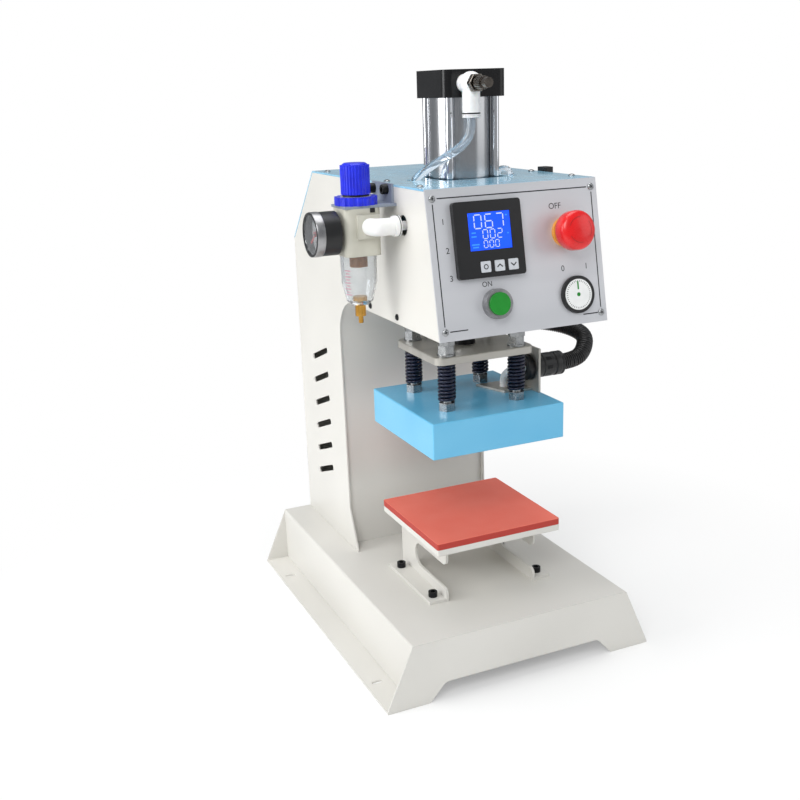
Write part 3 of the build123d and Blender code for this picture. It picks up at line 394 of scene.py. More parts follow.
# Conduit: dull black nylon that catches light on its ribs.
def conduit_nylon():
    return finish("extruded_black_nylon", "#0F0F10", "#18181A", 1.2, 0.02, (0.38, 0.52),
                  blotch_mm=10)


# Insulating board: dry, pale and rough.
def insulation():
    return finish("mineral_board", "#D8D2C2", "#C9C2B0", 1.2, 0.08, (0.75, 0.9), blotch_mm=12)


# Printed ink: flat black; also painted shade in the screw heads' cross recesses.
def printed_black():
    return finish("printed_ink_and_painted_shade", "#101114", "#16171B", 0.4, 0.002, (0.4, 0.5), blotch_mm=4)


# White film: dials and labels, with a slight gloss.
def label_white():
    return finish("printed_white_film", "#EEF0EF", "#E6E8E7", 0.4, 0.002, (0.3, 0.4), blotch_mm=9,
                  Coat_Weight=0.2)


# Pink scale printed on the bowl.
def pink_ink():
    return finish("pink_printed_scale", "#B4476B", "#A63F61", 0.4, 0.002, (0.4, 0.5), blotch_mm=3)


# Marks on the stop button, a darker red than the button.
def red_ink():
    return finish("moulded_dark_red_mark", "#B8060A", "#A80508", 0.4, 0.002, (0.35, 0.45),
                  blotch_mm=3)


# Bracket paint: blue-grey, half matt.
def blue_grey_paint():
    return finish("blue_grey_painted_steel", "#8E97A6", "#838C9B", 1.0, 0.01, (0.35, 0.48),
                  edge_mm=0.6, blotch_mm=16)


# Clear polycarbonate or polyurethane: see-through, with soft flow marks.
def clear_plastic(name, tint, second, weight, rough):
    return finish(name, tint, second, 5.0, 0.01, rough, blotch_mm=15,
                  Transmission_Weight=weight, IOR=1.45)


# Clear bowl and glass: nearly invisible, with sharp highlights.
def clear_bowl():
    return clear_plastic("clear_polycarbonate", "#F2F4F6", "#E9ECEF", 0.96, (0.02, 0.06))


# Clear hose: slightly blue, with soft highlights.
def clear_tube():
    return clear_plastic("clear_polyurethane_hose", "#EAF1F7", "#DDE8F2", 0.88, (0.05, 0.12))


def backlit_blue():
    """The display's backlight, in soft blotches of two close blues."""
    material = finish("backlit_lcd_blue", "#0638D8", "#0A46F0", 3.0, 0.001, (0.12, 0.18),
                      blotch_mm=30, Coat_Weight=0.5)
    shader = material.node_tree.nodes["Principled BSDF"]
    shader.inputs["Emission Color"].default_value = linear(bpy.context.scene.press_finish.display)
    shader.inputs["Emission Strength"].default_value = 0.75
    return material


def lit_segment(name, colour, strength):
    """A part of the display that is lit from behind."""
    material = finish(name, colour, colour, 2.0, 0.001, (0.2, 0.3), blotch_mm=20)
    shader = material.node_tree.nodes["Principled BSDF"]
    shader.inputs["Emission Color"].default_value = linear(colour)
    shader.inputs["Emission Strength"].default_value = strength
    return material


NODE_FINISHES = {
    powder_coat: ("base_pan", "side_plate_left", "side_plate_right", "column_front",
                  "rear_cover", "table_legs", "table_plate"),
    lid_film: ("top_cover",),
    brushed_panel: ("front_panel",),
    blue_enamel: ("heater_cover",),
    polished_barrel: ("cylinder_tube", "solenoid_valve", "heating_plate"),
    black_anodising: ("cylinder_caps",),
    ground_steel: ("mount_plate", "guide_plate", "gland_bracket"),
    zinc_plate: ("platen_studs",),
    hard_chrome: ("tie_rods", "piston_rod", "guide_rods"),
    satin_chrome: ("start_bezel",),
    black_oxide: ("rod_nut", "table_bolts"),
    sintered_bronze: ("guide_bushes", "filter_element"),
    turned_brass: ("drain_valve",),
    white_fitting: ("air_fittings", "cartridge_heaters"),
    cream_casting: ("regulator_body",),
    blue_nylon: ("regulator_ring", "regulator_knob"),
    blue_grey_paint: ("regulator_bracket",),
    black_plastic: ("valve_coil", "controller_case", "selector_bezel", "contact_blocks",
                    "gauge_case", "head_gland", "estop_stem", "power_inlet"),
    grey_key: ("key_set", "key_up", "key_down"),
    amber_plastic: ("estop_collar",),
    green_plastic: ("start_button",),
    label_white: ("selector_knob",),
    red_plastic: ("gauge_needle",),
    silicone: ("silicone_pad",),
    insulation: ("insulation_board",),
    clear_bowl: ("regulator_bowl",),
    nickel: ("flow_screw",),
}


def piece(name, bm, material, body, bevel_mm=0.0, angle=35.0, swaps=()):
    """Makes an object of a bmesh, rides it on a body and hides the nodes it stands for."""
    mesh = bpy.data.meshes.new(name)
    bm.to_mesh(mesh)
    bm.free()
    mesh.materials.append(material)
    mesh.shade_smooth()
    mesh.set_sharp_from_angle(angle=math.radians(angle))
    made = bpy.data.objects.new(name, mesh)
    bpy.context.collection.objects.link(made)
    if bevel_mm > 0:
        rounding = made.modifiers.new("rounding", "BEVEL")
        rounding.width = bevel_mm * MM
        rounding.segments = 2
        rounding.angle_limit = math.radians(30)
    if body:
        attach(made, body)
    if swaps:
        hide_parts(*swaps)
    return made


def joined(*parts):
    """Copies several bmeshes into one."""
    whole = bmesh.new()
    for part in parts:
        mesh = bpy.data.meshes.new("part")
        part.to_mesh(mesh)
        part.free()
        whole.from_mesh(mesh)
        bpy.data.meshes.remove(mesh)
    return whole


def lathe(outline, place, steps=64):
    """Turns an outline of (radius, height) points in millimetres about its own Z axis."""
    bm = bmesh.new()
    verts = [bm.verts.new((radius * MM, 0, z * MM)) for radius, z in outline]
    edges = [bm.edges.new(pair) for pair in zip(verts, verts[1:])]
    bmesh.ops.spin(bm, geom=verts + edges, cent=(0, 0, 0), axis=(0, 0, 1), angle=TURN,
                   steps=steps, use_merge=True)
    bmesh.ops.remove_doubles(bm, verts=bm.verts, dist=1e-6)
    bmesh.ops.recalc_face_normals(bm, faces=bm.faces)
    bmesh.ops.transform(bm, matrix=place, verts=bm.verts)
    return bm


def plate(width, height, low, high, place):
    """A box in millimetres, standing from low to high along its own Z."""
    bm = bmesh.new()
    size = Matrix.Diagonal((width * MM, height * MM, (high - low) * MM, 1))
    middle = Matrix.Translation((0, 0, (low + high) / 2 * MM))
    bmesh.ops.create_cube(bm, size=1, matrix=place @ middle @ size)
    return bm


def on_panel(x, s, turn=0.0):
    """A place on the panel's face, in millimetres from its top edge's middle."""
    return PANEL @ Matrix.Translation((x * MM, -s * MM, 0)) @ Matrix.Rotation(turn, 4, "Z")


def lettering(name, words, size_mm, place, material, body):
    """Flat letters with a little thickness, as a mesh in place."""
    curve = bpy.data.curves.new(name, "FONT")
    curve.body = words
    curve.size = size_mm * MM
    curve.align_x = "CENTER"
    curve.align_y = "CENTER"
    curve.extrude = 0.03 * MM
    text = bpy.data.objects.new(name, curve)
    bpy.context.collection.objects.link(text)
    bpy.context.view_layer.update()
    mesh = bpy.data.meshes.new_from_object(text)
    bpy.data.objects.remove(text)
    mesh.name = name
    mesh.transform(place)
    mesh.materials.clear()
    mesh.materials.append(material)
    made = bpy.data.objects.new(name, mesh)
    bpy.context.collection.objects.link(made)
    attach(made, body)
    return made


def spline_of(name, route, radius=0.0):
    """A smooth curve over a route, which is a round tube where a radius is given."""
    curve = bpy.data.curves.new(name, "CURVE")
    curve.dimensions = "3D"
    curve.resolution_u = 16
    curve.bevel_depth = radius
    curve.bevel_resolution = 6
    curve.use_fill_caps = radius > 0
    spline = curve.splines.new("NURBS")
    spline.points.add(len(route) - 1)
    for point, place in zip(spline.points, route):
        point.co = (*place, 1)
    spline.order_u = 3
    spline.use_endpoint_u = True
    return bpy.data.objects.new(name, curve)


def points_along(route):
    """Points of the route's smooth curve, evenly close together."""
    carrier = spline_of("carrier", route)
    bpy.context.collection.objects.link(carrier)
    bpy.context.view_layer.update()
    mesh = bpy.data.meshes.new_from_object(carrier)
    points = [vert.co.copy() for vert in mesh.vertices]
    bpy.data.objects.remove(carrier)
    bpy.data.meshes.remove(mesh)
    return points


def at_length(points, distance):
    """The place and direction at a distance along a line of points."""
    for start, end in zip(points, points[1:]):
        step = (end - start).length
        if distance <= step:
            return start.lerp(end, distance / step), (end - start).normalized()
        distance -= step
    return points[-1], (points[-1] - points[-2]).normalized()


def line_length(points):
    """The length of a line of points."""
    return sum((end - start).length for start, end in zip(points, points[1:]))


class PRESS_OT_finishes(bpy.types.Operator):
    """Gives every solid of the model its finish"""
    bl_idname = "press.finishes"
    bl_label = "Finishes"

    def execute(self, context):
        for make, nodes in NODE_FINISHES.items():
            for name in nodes:
                solid = bpy.data.objects[name]
                solid.data.materials.clear()
                solid.data.materials.append(make())
        return {"FINISHED"}


class PRESS_OT_air_tubes(bpy.types.Operator):
    """Makes the two clear air tubes at the cylinder"""
    bl_idname = "press.air_tubes"
    bl_label = "Air tubes"

    def execute(self, context):
        for name, route, size in (("air_tube_upper", upper_tube_route, upper_tube_diameter),
                                  ("air_tube_lower", lower_tube_route, lower_tube_diameter)):
            diameter = size * MM
            tube = spline_of(f"{name}_hose", route, diameter / 2)
            context.collection.objects.link(tube)
            tube.data.materials.append(clear_tube())
            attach(tube, "frame")
            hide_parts(name)
            line_length(points_along(route))
        return {"FINISHED"}


class PRESS_OT_conduit(bpy.types.Operator):
    """Makes the ribbed conduit from the heater's connector up into the head"""
    bl_idname = "press.conduit"
    bl_label = "Conduit"

    def execute(self, context):
        points = points_along(conduit_route)
        length = line_length(points)
        ribs = int(length / (context.scene.press_sizes.conduit_pitch * MM))
        crest = conduit_diameter / 2 * MM
        root = crest - 0.9 * MM
        steps = ((0.0, root), (0.18, crest), (0.62, crest), (0.8, root))
        bm = bmesh.new()
        across = Vector((0, 0, 1))
        rings = []
        places = [((rib + share) / ribs, radius) for rib in range(ribs) for share, radius in steps]
        for share, radius in places + [(1.0, root)]:
            place, along = at_length(points, share * length)
            across = (across - along * across.dot(along)).normalized()
            side = along.cross(across)
            turn = Matrix((across, side, along)).transposed().to_4x4()
            ring = bmesh.ops.create_circle(bm, segments=28, radius=radius,
                                           matrix=Matrix.Translation(place) @ turn)
            rings.append(list({edge for vert in ring["verts"] for edge in vert.link_edges}))
        for lower, upper in zip(rings, rings[1:]):
            bmesh.ops.bridge_loops(bm, edges=lower + upper)
        for end in (rings[0], rings[-1]):
            bmesh.ops.holes_fill(bm, edges=end, sides=28)
        bmesh.ops.recalc_face_normals(bm, faces=bm.faces)
        hose = piece("conduit_hose", bm, conduit_nylon(), None, angle=60, swaps=("conduit",))
        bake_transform(hose)
        return {"FINISHED"}


class PRESS_OT_springs(bpy.types.Operator):
    """Winds the four compression springs between the nuts and the guide plate"""
    bl_idname = "press.springs"
    bl_label = "Springs"

    def execute(self, context):
        sizes = context.scene.press_sizes
        wire = sizes.spring_wire / 2 * MM
        radius = spring_diameter / 2 * MM - wire
        margin = wire + 0.15 * MM
        climb = spring_high - spring_low - 2 * margin
        steps = 28 * sizes.spring_turns
        for number, (x, y) in enumerate(spring_places):
            bm = bmesh.new()
            place = Matrix.Translation((radius, 0, 0)) @ Matrix.Rotation(math.pi / 2, 4, "X")
            ring = bmesh.ops.create_circle(bm, segments=10, radius=wire, matrix=place)
            geometry = ring["verts"] + list({e for v in ring["verts"] for e in v.link_edges})
            bmesh.ops.spin(bm, geom=geometry, cent=(0, 0, 0), axis=(0, 0, 1),
                           dvec=(0, 0, climb / steps), angle=TURN * sizes.spring_turns,
                           steps=steps)
            ends = [edge for edge in bm.edges if edge.is_boundary]
            bmesh.ops.holes_fill(bm, edges=ends, sides=10)
            bmesh.ops.recalc_face_normals(bm, faces=bm.faces)
            stand = Matrix.Translation((x * MM, ram_axis_y + y * MM, spring_low + margin))
            bmesh.ops.transform(bm, matrix=stand, verts=bm.verts)
            swaps = ("springs",) if number == 0 else ()
            coil = piece(f"spring_{number + 1}", bm, blued_wire(), None, angle=50, swaps=swaps)
            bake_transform(coil)
        return {"FINISHED"}


class PRESS_OT_connector(bpy.types.Operator):
    """Dresses the conduit's connector at the heater: grip ring, clip windows and inner nut"""
    bl_idname = "press.connector"
    bl_label = "Conduit connector"

    def execute(self, context):
        inner_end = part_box("gland_connector")[0][0]
        centre = (inner_end, *conduit_route[0][1:])
        place = Matrix.Translation(centre) @ Matrix.Rotation(math.pi / 2, 4, "Y")
        outline = [(0, 0), (12.5, 0), (14.3, 1.2), (14.3, 6.6), (13.2, 7.5), (9, 7.5), (9, 10),
                   (13.4, 10), (13.4, 13), (12.7, 13.6), (12.7, 20), (13.4, 20.6), (13.4, 33),
                   (12.6, 33.6), (12.6, 36), (13.5, 36.6), (13.5, 42), (13.1, 42.6),
                   (13.1, 43.6), (13.5, 44.2), (13.5, 46.4), (11.5, 47), (0, 47)]
        bm = lathe(outline, place, 48)
        piece("connector_body", bm, black_plastic(), "platen", 0.3, swaps=("gland_connector",))
        windows = []
        for step in range(8):
            turn = Matrix.Rotation(TURN * step / 8, 4, "Z")
            out = (Matrix.Translation((12.9 * MM, 0, 26.5 * MM))
                   @ Matrix.Rotation(math.pi / 2, 4, "Y"))
            windows.append(plate(7, 4, -0.4, 0.6, place @ turn @ out))
        piece("connector_clips", joined(*windows), black_oxide(), "platen", 0.25)
        return {"FINISHED"}


class PRESS_OT_display(bpy.types.Operator):
    """Makes the controller's display, its digits and marks, and the signs on its keys"""
    bl_idname = "press.display"
    bl_label = "Display"

    def execute(self, context):
        glass = on_panel(*window_place)
        pane = plate(44.8, 35.3, 4.85, display_face, glass)
        piece("display_glass", pane, backlit_blue(), "frame", 0.2, swaps=("clear_windows",))
        segments = {"0": "abcdef", "2": "abged", "6": "afgedc", "7": "abc"}
        bright = lit_segment("lcd_pale_segment", "#B4BEE4", 0.5)
        for row, digits, x, y, height in (("top", "067", -12.2, 9.2, 12.6),
                                          ("middle", "002", -5.3, -2.9, 8.4),
                                          ("bottom", "000", -5.6, -12.2, 6.6)):
            bars = []
            width = height * 0.6
            pitch = height * 0.93
            for index, digit in enumerate(digits):
                centre = Matrix.Translation(((x + index * pitch) * MM, y * MM, 0))
                bars += [self.bar(segment, width, height, glass @ centre)
                         for segment in segments[digit]]
            piece(f"display_digits_{row}", joined(*bars), bright, "frame")
        faint = lit_segment("lcd_faint_mark", "#2E7CFF", 0.6)
        marks = [plate(w, 1.3, display_face, display_face + 0.08,
                       glass @ Matrix.Translation((x * MM, y * MM, 0)))
                 for x, y, w in ((-17.5, -1, 4.5), (-17.5, -4.5, 5.5), (-16.5, -12, 8),
                                 (-16.5, -14.5, 6), (19, -3.5, 1.5), (18.5, 13.5, 2))]
        piece("display_marks", joined(*marks), faint, "frame")
        self.key_signs()
        return {"FINISHED"}

    def bar(self, segment, width, height, place):
        """One bar of a seven-part digit."""
        half = height / 4
        spots = {"a": (0, 2 * half, 1), "d": (0, -2 * half, 1), "g": (0, 0, 1),
                 "b": (width / 2, half, 0), "c": (width / 2, -half, 0),
                 "e": (-width / 2, -half, 0), "f": (-width / 2, half, 0)}
        x, y, flat = spots[segment]
        thick = 0.35 + height * 0.055
        size = (width - 1.6 * thick, thick) if flat else (thick, 2 * half - 1.3 * thick)
        spot = place @ Matrix.Translation((x * MM, y * MM, 0))
        return plate(size[0], size[1], display_face, display_face + 0.1, spot)

    def key_signs(self):
        """The ring and the two carets on the keys."""
        low, high = key_face, key_face + 0.07
        ring = lathe([(1.6, low), (2.5, low), (2.5, high), (1.6, high), (1.6, low)],
                     on_panel(*set_key_place), 32)
        piece("sign_set", ring, printed_black(), "set_key")
        for name, spot, turn, body in (("sign_up", up_key_place, 0.0, "up_key"),
                                       ("sign_down", down_key_place, math.pi, "down_key")):
            arms = []
            for side in (-1, 1):
                tilt = Matrix.Rotation(side * math.radians(-42), 4, "Z")
                shift = Matrix.Translation((side * 1.35 * MM, 0, 0))
                arms.append(plate(4.2, 1.1, low, high, on_panel(*spot, turn) @ shift @ tilt))
            piece(name, joined(*arms), printed_black(), body)


class PRESS_OT_panel_marks(bpy.types.Operator):
    """Prints the panel's border and its plain marks, and makes the selector's face"""
    bl_idname = "press.panel_marks"
    bl_label = "Panel marks"

    def execute(self, context):
        line = context.scene.press_sizes.panel_line
        ink = 0.06
        bars = [plate(164, line, 0, ink, on_panel(0, screw_inset)),
                plate(line, 114, 0, ink, on_panel(-screw_x, 71)),
                plate(line, 114, 0, ink, on_panel(screw_x, 71)),
                plate(19, line, 0, ink, on_panel(-72.5, border_low)),
                plate(17, line, 0, ink, on_panel(74.5, border_low))]
        piece("panel_border", joined(*bars), printed_black(), "frame")
        for name, words, x, s, size in (("mark_row_1", "1", -78, 31, 8),
                                        ("mark_row_2", "2", -76, 58, 8),
                                        ("mark_row_3", "3", -75, 84, 8),
                                        ("mark_off", "OFF", 44, 25, 8),
                                        ("mark_on", "ON", -38, 92.6, 7),
                                        ("mark_zero", "0", 47, 86, 8),
                                        ("mark_one", "1", 74, 86, 8)):
            place = on_panel(x, s) @ Matrix.Translation((0, 0, 0.05 * MM))
            lettering(name, words, size, place, printed_black(), "frame")
        face = on_panel(*selector_place)
        low, high = selector_face, selector_face + 0.1
        marks = [lathe([(0.01, low), (2.0, low), (2.0, high), (0.01, high)], face, 24),
                 plate(1.6, 8, low, high, face @ Matrix.Translation((0, 9 * MM, 0)))]
        piece("selector_pointer", joined(*marks), green_plastic(), "selector")
        ticks = [plate(0.5, 1.6, low, low + ink, face @ Matrix.Rotation(TURN * step / 40, 4, "Z")
                       @ Matrix.Translation((0, -13.2 * MM, 0))) for step in range(40)]
        piece("selector_ticks", joined(*ticks), printed_black(), "selector")
        return {"FINISHED"}


class PRESS_OT_stop_button(bpy.types.Operator):
    """Turns the mushroom head of the stop button, with its turning arrows"""
    bl_idname = "press.stop_button"
    bl_label = "Stop button"

    def execute(self, context):
        place = on_panel(*stop_place)
        outline = [(0.01, 12), (17.4, 12), (18.5, 12.8), (19, 14.2), (19, 22.5), (18.7, 24.6),
                   (17.8, 26.2), (16.4, 27.3), (14.2, 28.3), (11, 29.2), (7, 29.8), (0.01, 30.1)]
        mushroom = lathe(outline, place, 96)
        piece("stop_mushroom", mushroom, red_plastic(), "estop_mushroom", angle=60,
              swaps=("estop_head",))
        arrows = []
        for step in range(3):
            start = TURN * step / 3
            for part in range(9):
                turn = Matrix.Rotation(start + math.radians(8 * part), 4, "Z")
                arc = (Matrix.Translation((0, 12.2 * MM, 28.9 * MM))
                       @ Matrix.Rotation(math.radians(-15), 4, "X"))
                arrows.append(plate(1.8, 0.8, -0.3, 0.12, place @ turn @ arc))
        piece("stop_arrows", joined(*arrows), red_ink(), "estop_mushroom")
        return {"FINISHED"}


class PRESS_OT_screws(bpy.types.Operator):
    """Makes the domed screws of the panel and lid, and the black ones of the side plates"""
    bl_idname = "press.screws"
    bl_label = "Screws"

    def execute(self, context):
        dome = [(0.01, -4), (1.6, -4), (1.6, 0), (3.4, 0), (3.4, 0.5), (2.9, 1.2), (2.0, 1.7),
                (0.01, 1.95)]
        panel_high_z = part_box("front_panel")[1][2]
        panel_length = (panel_high_z - panel_low_z) / math.cos(panel_tilt) / MM
        panel_places = [on_panel(x, s) for x in (-screw_x, screw_x)
                        for s in (screw_inset, panel_length - screw_inset)]
        lid_places = [Matrix.Translation((side * 84.5 * MM, y * MM, lid_top))
                      for side in (-1, 1) for y in (-153.8, -75.5, 96)]
        side_places = []
        for side in (-1, 1):
            out = Matrix.Rotation(side * math.pi / 2, 4, "Y")
            side_places += [Matrix.Translation((side * 93.5 * MM, y * MM, 388 * MM)) @ out
                            for y in (-110.5, -40.5)]
        bright = panel_places + lid_places
        heads = [lathe(dome, place, 24) for place in bright]
        piece("panel_screws", joined(*heads), zinc_plate(), "frame", swaps=("frame_screws",))
        piece("side_screws", joined(*[lathe(dome, place, 24) for place in side_places]),
              black_oxide(), "frame")
        # Painted shade: each screw's cross recess is drawn as two thin black bars on its head.
        recess_shade_bars = []
        for number, place in enumerate(bright + side_places):
            for turn in (0.4 * number, 0.4 * number + math.pi / 2):
                recess_shade_bars.append(plate(3.0, 0.7, 1.3, 1.99, place @ Matrix.Rotation(turn, 4, "Z")))
        piece("screw_recess_shade", joined(*recess_shade_bars), printed_black(), "frame")
        return {"FINISHED"}


class PRESS_OT_gauge(bpy.types.Operator):
    """Makes the gauge's silver ring, dial, marks and glass"""
    bl_idname = "press.gauge"
    bl_label = "Gauge"

    def execute(self, context):
        centre_y = (gauge_box[0][1] + gauge_box[1][1]) / 2
        centre_z = (gauge_box[0][2] + gauge_box[1][2]) / 2
        place = (Matrix.Translation((gauge_box[0][0], centre_y, centre_z))
                 @ Matrix.Rotation(-math.pi / 2, 4, "Y"))
        ring = [(19.55, -0.02), (20.6, -0.02), (21.5, -0.5), (21.9, -1.4), (21.9, -8.6),
                (21.6, -9.0), (19.55, -9.0)]
        piece("gauge_ring", lathe([*ring, ring[0]], place, 72), satin_chrome(), "frame")
        disc = [(1.3, -9.9), (19.2, -9.9), (19.2, -9.5), (1.3, -9.5), (1.3, -9.9)]
        dial = lathe(disc, place, 64)
        piece("gauge_dial", dial, label_white(), "frame")
        marks = []
        for step in range(31):
            long_mark = step % 5 == 0
            turn = Matrix.Rotation(math.radians(-135 + 9 * step), 4, "Z")
            shift = Matrix.Translation((0, (16.6 if long_mark else 17.2) * MM, 0))
            marks.append(plate(0.5 if long_mark else 0.3, 3.0 if long_mark else 1.8, -9.5, -9.42,
                               place @ turn @ shift))
        piece("gauge_marks", joined(*marks), printed_black(), "frame")
        for number in range(0, 7, 2):
            angle = math.radians(135 - 45 * number)
            reach = 12.6 * MM
            spot = Matrix.Translation((reach * -math.sin(angle), reach * math.cos(angle),
                                       -9.46 * MM))
            lettering(f"gauge_number_{number}", str(number), 4.0, place @ spot, printed_black(),
                      "frame")
        label = (Matrix.Rotation(math.radians(62), 4, "Z")
                 @ Matrix.Translation((21.45 * MM, 0, -13 * MM)))
        patch = plate(0.3, 9, -3.2, 3.2, place @ label)
        piece("gauge_label", patch, label_white(), "frame")
        glass = lathe([(0.01, -1.8), (19.5, -1.8), (19.5, -0.9), (0.01, -0.7)], place, 64)
        piece("gauge_glass", glass, clear_bowl(), "frame", angle=60)
        return {"FINISHED"}


class PRESS_OT_regulator(bpy.types.Operator):
    """Adds the bowl's printed scale, the lock lug and a black ring of painted shade in the knob's
    groove
    """
    bl_idname = "press.regulator"
    bl_label = "Regulator details"

    def execute(self, context):
        centre = Vector(((bowl_box[0][0] + bowl_box[1][0]) / 2,
                         (bowl_box[0][1] + bowl_box[1][1]) / 2, bowl_box[0][2]))
        marks = []
        for step in range(9):
            rise = 12 + 3.0 * step
            height = rise * MM
            radius = 13.9 + 0.26 * rise
            turn = Matrix.Rotation(math.radians(-150), 4, "Z")
            out = Matrix.Translation((min(radius, 18.1) * MM, 0, 0))
            place = Matrix.Translation((centre.x, centre.y, centre.z + height)) @ turn @ out
            marks.append(plate(0.35, 4.5 if step % 2 else 7.0, -0.3, 0.3, place))
        piece("bowl_scale", joined(*marks), pink_ink(), "frame")
        body_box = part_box("regulator_body")
        top = Matrix.Translation((centre.x, centre.y, body_box[1][2]))
        # Painted shade: a flat black ring on the body's top stands for the shaded groove under the
        # knob.
        ring = [(9.1, -2.2), (12.9, -2.2), (12.9, 0.15), (9.1, 0.15), (9.1, -2.2)]
        shaded_groove_ring = lathe(ring, top, 48)
        piece("knob_groove_painted_shade", shaded_groove_ring, black_plastic(), "frame")
        cap = Matrix.Translation((centre.x, centre.y, knob_box[1][2]))
        dome = [(0.01, -2), (12.6, -2.0), (12.0, -0.9), (10.5, -0.25), (0.01, -0.02)]
        disc = lathe(dome, cap, 48)
        piece("knob_cap", disc, blue_nylon(), "pressure_knob", angle=60)
        lug = Matrix.Translation((centre.x + 9 * MM, body_box[0][1] + 4.2 * MM, 0.4985))
        piece("lock_lug", plate(5, 3, -2.2, 2.0, lug), black_plastic(), "frame", 0.3)
        screws = []
        for y, z in ((-0.0686, 0.5145), (-0.1007, 0.5156)):
            spot = Matrix.Translation((-0.0960, y, z)) @ Matrix.Rotation(-math.pi / 2, 4, "Y")
            head = [(0.01, 0), (5, 0), (5, 5.2), (4.5, 6), (2.6, 6), (2.6, 3), (0.01, 3)]
            screws.append(lathe(head, spot, 24))
        piece("bracket_screws", joined(*screws), black_oxide(), "frame")
        return {"FINISHED"}


class PRESS_OT_fitting_details(bpy.types.Operator):
    """Adds the nickel hexagon, the collet rings and the wall grommets of the air tubes"""
    bl_idname = "press.fitting_details"
    bl_label = "Fitting details"

    def execute(self, context):
        facing = Matrix.Rotation(math.pi / 2, 4, "X")
        head = Matrix.Translation((-0.013, -0.132, 0.6134)) @ facing
        hexagon = lathe([(4.2, -0.3), (8.6, -0.3), (9.4, 0.5), (9.4, 5.6), (8.6, 6.2), (4.2, 6.2),
                         (4.2, -0.3)], head, 6)
        piece("nickel_hexagon", hexagon, nickel(), "frame", 0.3, angle=20)
        collet = Matrix.Translation((-0.013, -0.124, 0.581))
        dark = lathe([(8.0, 3.2), (8.95, 3.2), (8.95, 4.6), (8.0, 4.6), (8.0, 3.2)], collet, 48)
        piece("collet_seal", dark, black_plastic(), "frame")
        lip = lathe([(4.6, -0.4), (8.2, -0.4), (8.7, 0.3), (8.9, 2.2), (8.0, 2.4), (4.6, 2.4),
                     (4.6, -0.4)], collet, 48)
        piece("collet_lip", lip, clear_bowl(), "frame")
        elbow = (Matrix.Translation((-0.0935, -0.132, 0.483))
                 @ Matrix.Rotation(-math.pi / 2, 4, "Y"))
        ring = lathe([(8.2, 6.1), (10.15, 6.1), (10.15, 6.9), (8.2, 6.9), (8.2, 6.1)], elbow, 48)
        piece("elbow_seal", ring, black_plastic(), "frame")
        return {"FINISHED"}


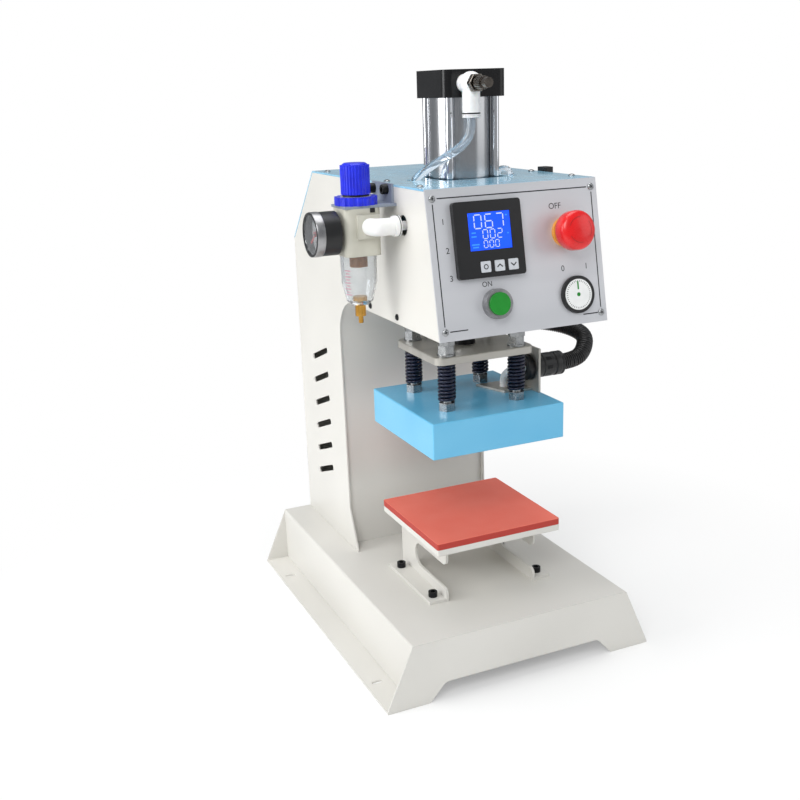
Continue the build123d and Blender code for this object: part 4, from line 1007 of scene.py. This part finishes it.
class PRESS_OT_stage(bpy.types.Operator):
    """Sets the pale floor, the soft lights and the camera"""
    bl_idname = "press.stage"
    bl_label = "Stage"

    def execute(self, context):
        scene = context.scene
        scene.view_settings.view_transform = "Standard"
        self.floor(context)
        self.sky(scene)
        for name, place, size, power in (("key", (-1.6, -1.9, 2.2), 1.4, 42),
                                         ("fill", (2.0, -1.6, 1.2), 1.8, 12),
                                         ("top", (0.1, 0.1, 2.4), 1.6, 24),
                                         ("side", (-2.1, 0.2, 1.0), 1.2, 26)):
            self.lamp(context, name, Vector(place), size, power)
        self.camera(context)
        return {"FINISHED"}

    def floor(self, context):
        bm = bmesh.new()
        bmesh.ops.create_grid(bm, x_segments=2, y_segments=2, size=6)
        mesh = bpy.data.meshes.new("floor")
        bm.to_mesh(mesh)
        bm.free()
        floor = bpy.data.objects.new("floor", mesh)
        context.collection.objects.link(floor)
        material = bpy.data.materials.new("pale_paper")
        material.use_nodes = True
        tree = material.node_tree
        paper = tree.nodes["Principled BSDF"]
        paper.inputs["Roughness"].default_value = 0.9
        paper.inputs["Base Color"].default_value = linear("#F4F4F3")
        glow = add(tree, "ShaderNodeEmission", {"Color": linear("#FFFFFF"), "Strength": 1.0})
        seen = add(tree, "ShaderNodeLightPath").outputs["Is Camera Ray"]
        spot = add(tree, "ShaderNodeTexCoord").outputs["Object"]
        away = add(tree, "ShaderNodeVectorMath", (), {0: spot}, operation="LENGTH").outputs["Value"]
        fade = add(tree, "ShaderNodeMapRange", {"From Min": 0.16, "From Max": 0.6, "To Min": 0.25,
                                                "To Max": 1.0}, {"Value": away})
        share = add(tree, "ShaderNodeMath", (), {0: seen, 1: fade.outputs[0]},
                    operation="MULTIPLY")
        mixed = add(tree, "ShaderNodeMixShader", (), {0: share.outputs[0], 1: paper.outputs[0],
                                                      2: glow.outputs[0]})
        tree.links.new(mixed.outputs[0], tree.nodes["Material Output"].inputs[0])
        mesh.materials.append(material)

    def sky(self, scene):
        world = bpy.data.worlds.new("studio")
        scene.world = world
        world.use_nodes = True
        tree = world.node_tree
        soft = tree.nodes["Background"]
        soft.inputs[0].default_value = linear("#E8EBEF")
        soft.inputs[1].default_value = 0.42
        white = add(tree, "ShaderNodeBackground", {0: linear("#FFFFFF"), 1: 1.0})
        path = add(tree, "ShaderNodeLightPath")
        clear = add(tree, "ShaderNodeMath", (), {0: path.outputs["Is Camera Ray"],
                                                 1: path.outputs["Is Transmission Ray"]},
                    operation="MAXIMUM")
        mixed = add(tree, "ShaderNodeMixShader", (), {0: clear.outputs[0], 1: soft.outputs[0],
                                                      2: white.outputs[0]})
        tree.links.new(mixed.outputs[0], tree.nodes["World Output"].inputs[0])

    def lamp(self, context, name, place, size, power):
        light = bpy.data.lights.new(name, "AREA")
        light.size = size
        light.energy = power
        lamp = bpy.data.objects.new(name, light)
        aim = Vector((0, -0.05, 0.3)) - place
        turn = aim.to_track_quat("-Z", "Y").to_matrix().to_4x4()
        lamp.matrix_world = Matrix.Translation(place) @ turn
        context.collection.objects.link(lamp)

    def camera(self, context):
        view = context.scene.press_camera
        data = bpy.data.cameras.new("camera")
        data.lens = view.lens
        data.sensor_width = 36
        data.clip_start = 0.05
        forward = Vector((math.sin(view.yaw) * math.cos(view.pitch),
                          math.cos(view.yaw) * math.cos(view.pitch), -math.sin(view.pitch)))
        right = Vector((math.cos(view.yaw), -math.sin(view.yaw), 0))
        up = right.cross(forward)
        x_axis = right * math.cos(view.roll) + up * math.sin(view.roll)
        y_axis = up * math.cos(view.roll) - right * math.sin(view.roll)
        turn = Matrix((x_axis, y_axis, -forward)).transposed().to_4x4()
        camera = bpy.data.objects.new("camera", data)
        camera.matrix_world = Matrix.Translation((-0.5143, -1.0681, 0.61218)) @ turn
        context.collection.objects.link(camera)
        context.scene.camera = camera


OPERATORS = (PRESS_OT_stage, PRESS_OT_air_tubes, PRESS_OT_conduit, PRESS_OT_finishes,
             PRESS_OT_springs, PRESS_OT_connector, PRESS_OT_display, PRESS_OT_panel_marks,
             PRESS_OT_stop_button, PRESS_OT_screws, PRESS_OT_gauge, PRESS_OT_regulator,
             PRESS_OT_fitting_details)


class PRESS_PT_looks(bpy.types.Panel):
    """Lists the steps that dress the press"""
    bl_idname = "PRESS_PT_looks"
    bl_label = "Press looks"
    bl_space_type = "VIEW_3D"
    bl_region_type = "UI"
    bl_category = "Press"

    def draw(self, context):
        for group in (context.scene.press_finish, context.scene.press_sizes,
                      context.scene.press_camera):
            for name in group.__annotations__:
                self.layout.prop(group, name)
        for operator in OPERATORS:
            self.layout.operator(operator.bl_idname)


GROUPS = (("press_finish", PressFinish), ("press_sizes", PressSizes),
          ("press_camera", PressCamera))


def register():
    for name, group in GROUPS:
        bpy.utils.register_class(group)
        setattr(bpy.types.Scene, name, PointerProperty(type=group))
    for item in (*OPERATORS, PRESS_PT_looks):
        bpy.utils.register_class(item)


def unregister():
    for item in (PRESS_PT_looks, *reversed(OPERATORS)):
        bpy.utils.unregister_class(item)
    for name, group in reversed(GROUPS):
        delattr(bpy.types.Scene, name)
        bpy.utils.unregister_class(group)


def main():
    register()
    for operator in OPERATORS:
        group, step = operator.bl_idname.split(".")
        getattr(getattr(bpy.ops, group), step)()


if __name__ == "__main__":
    main()
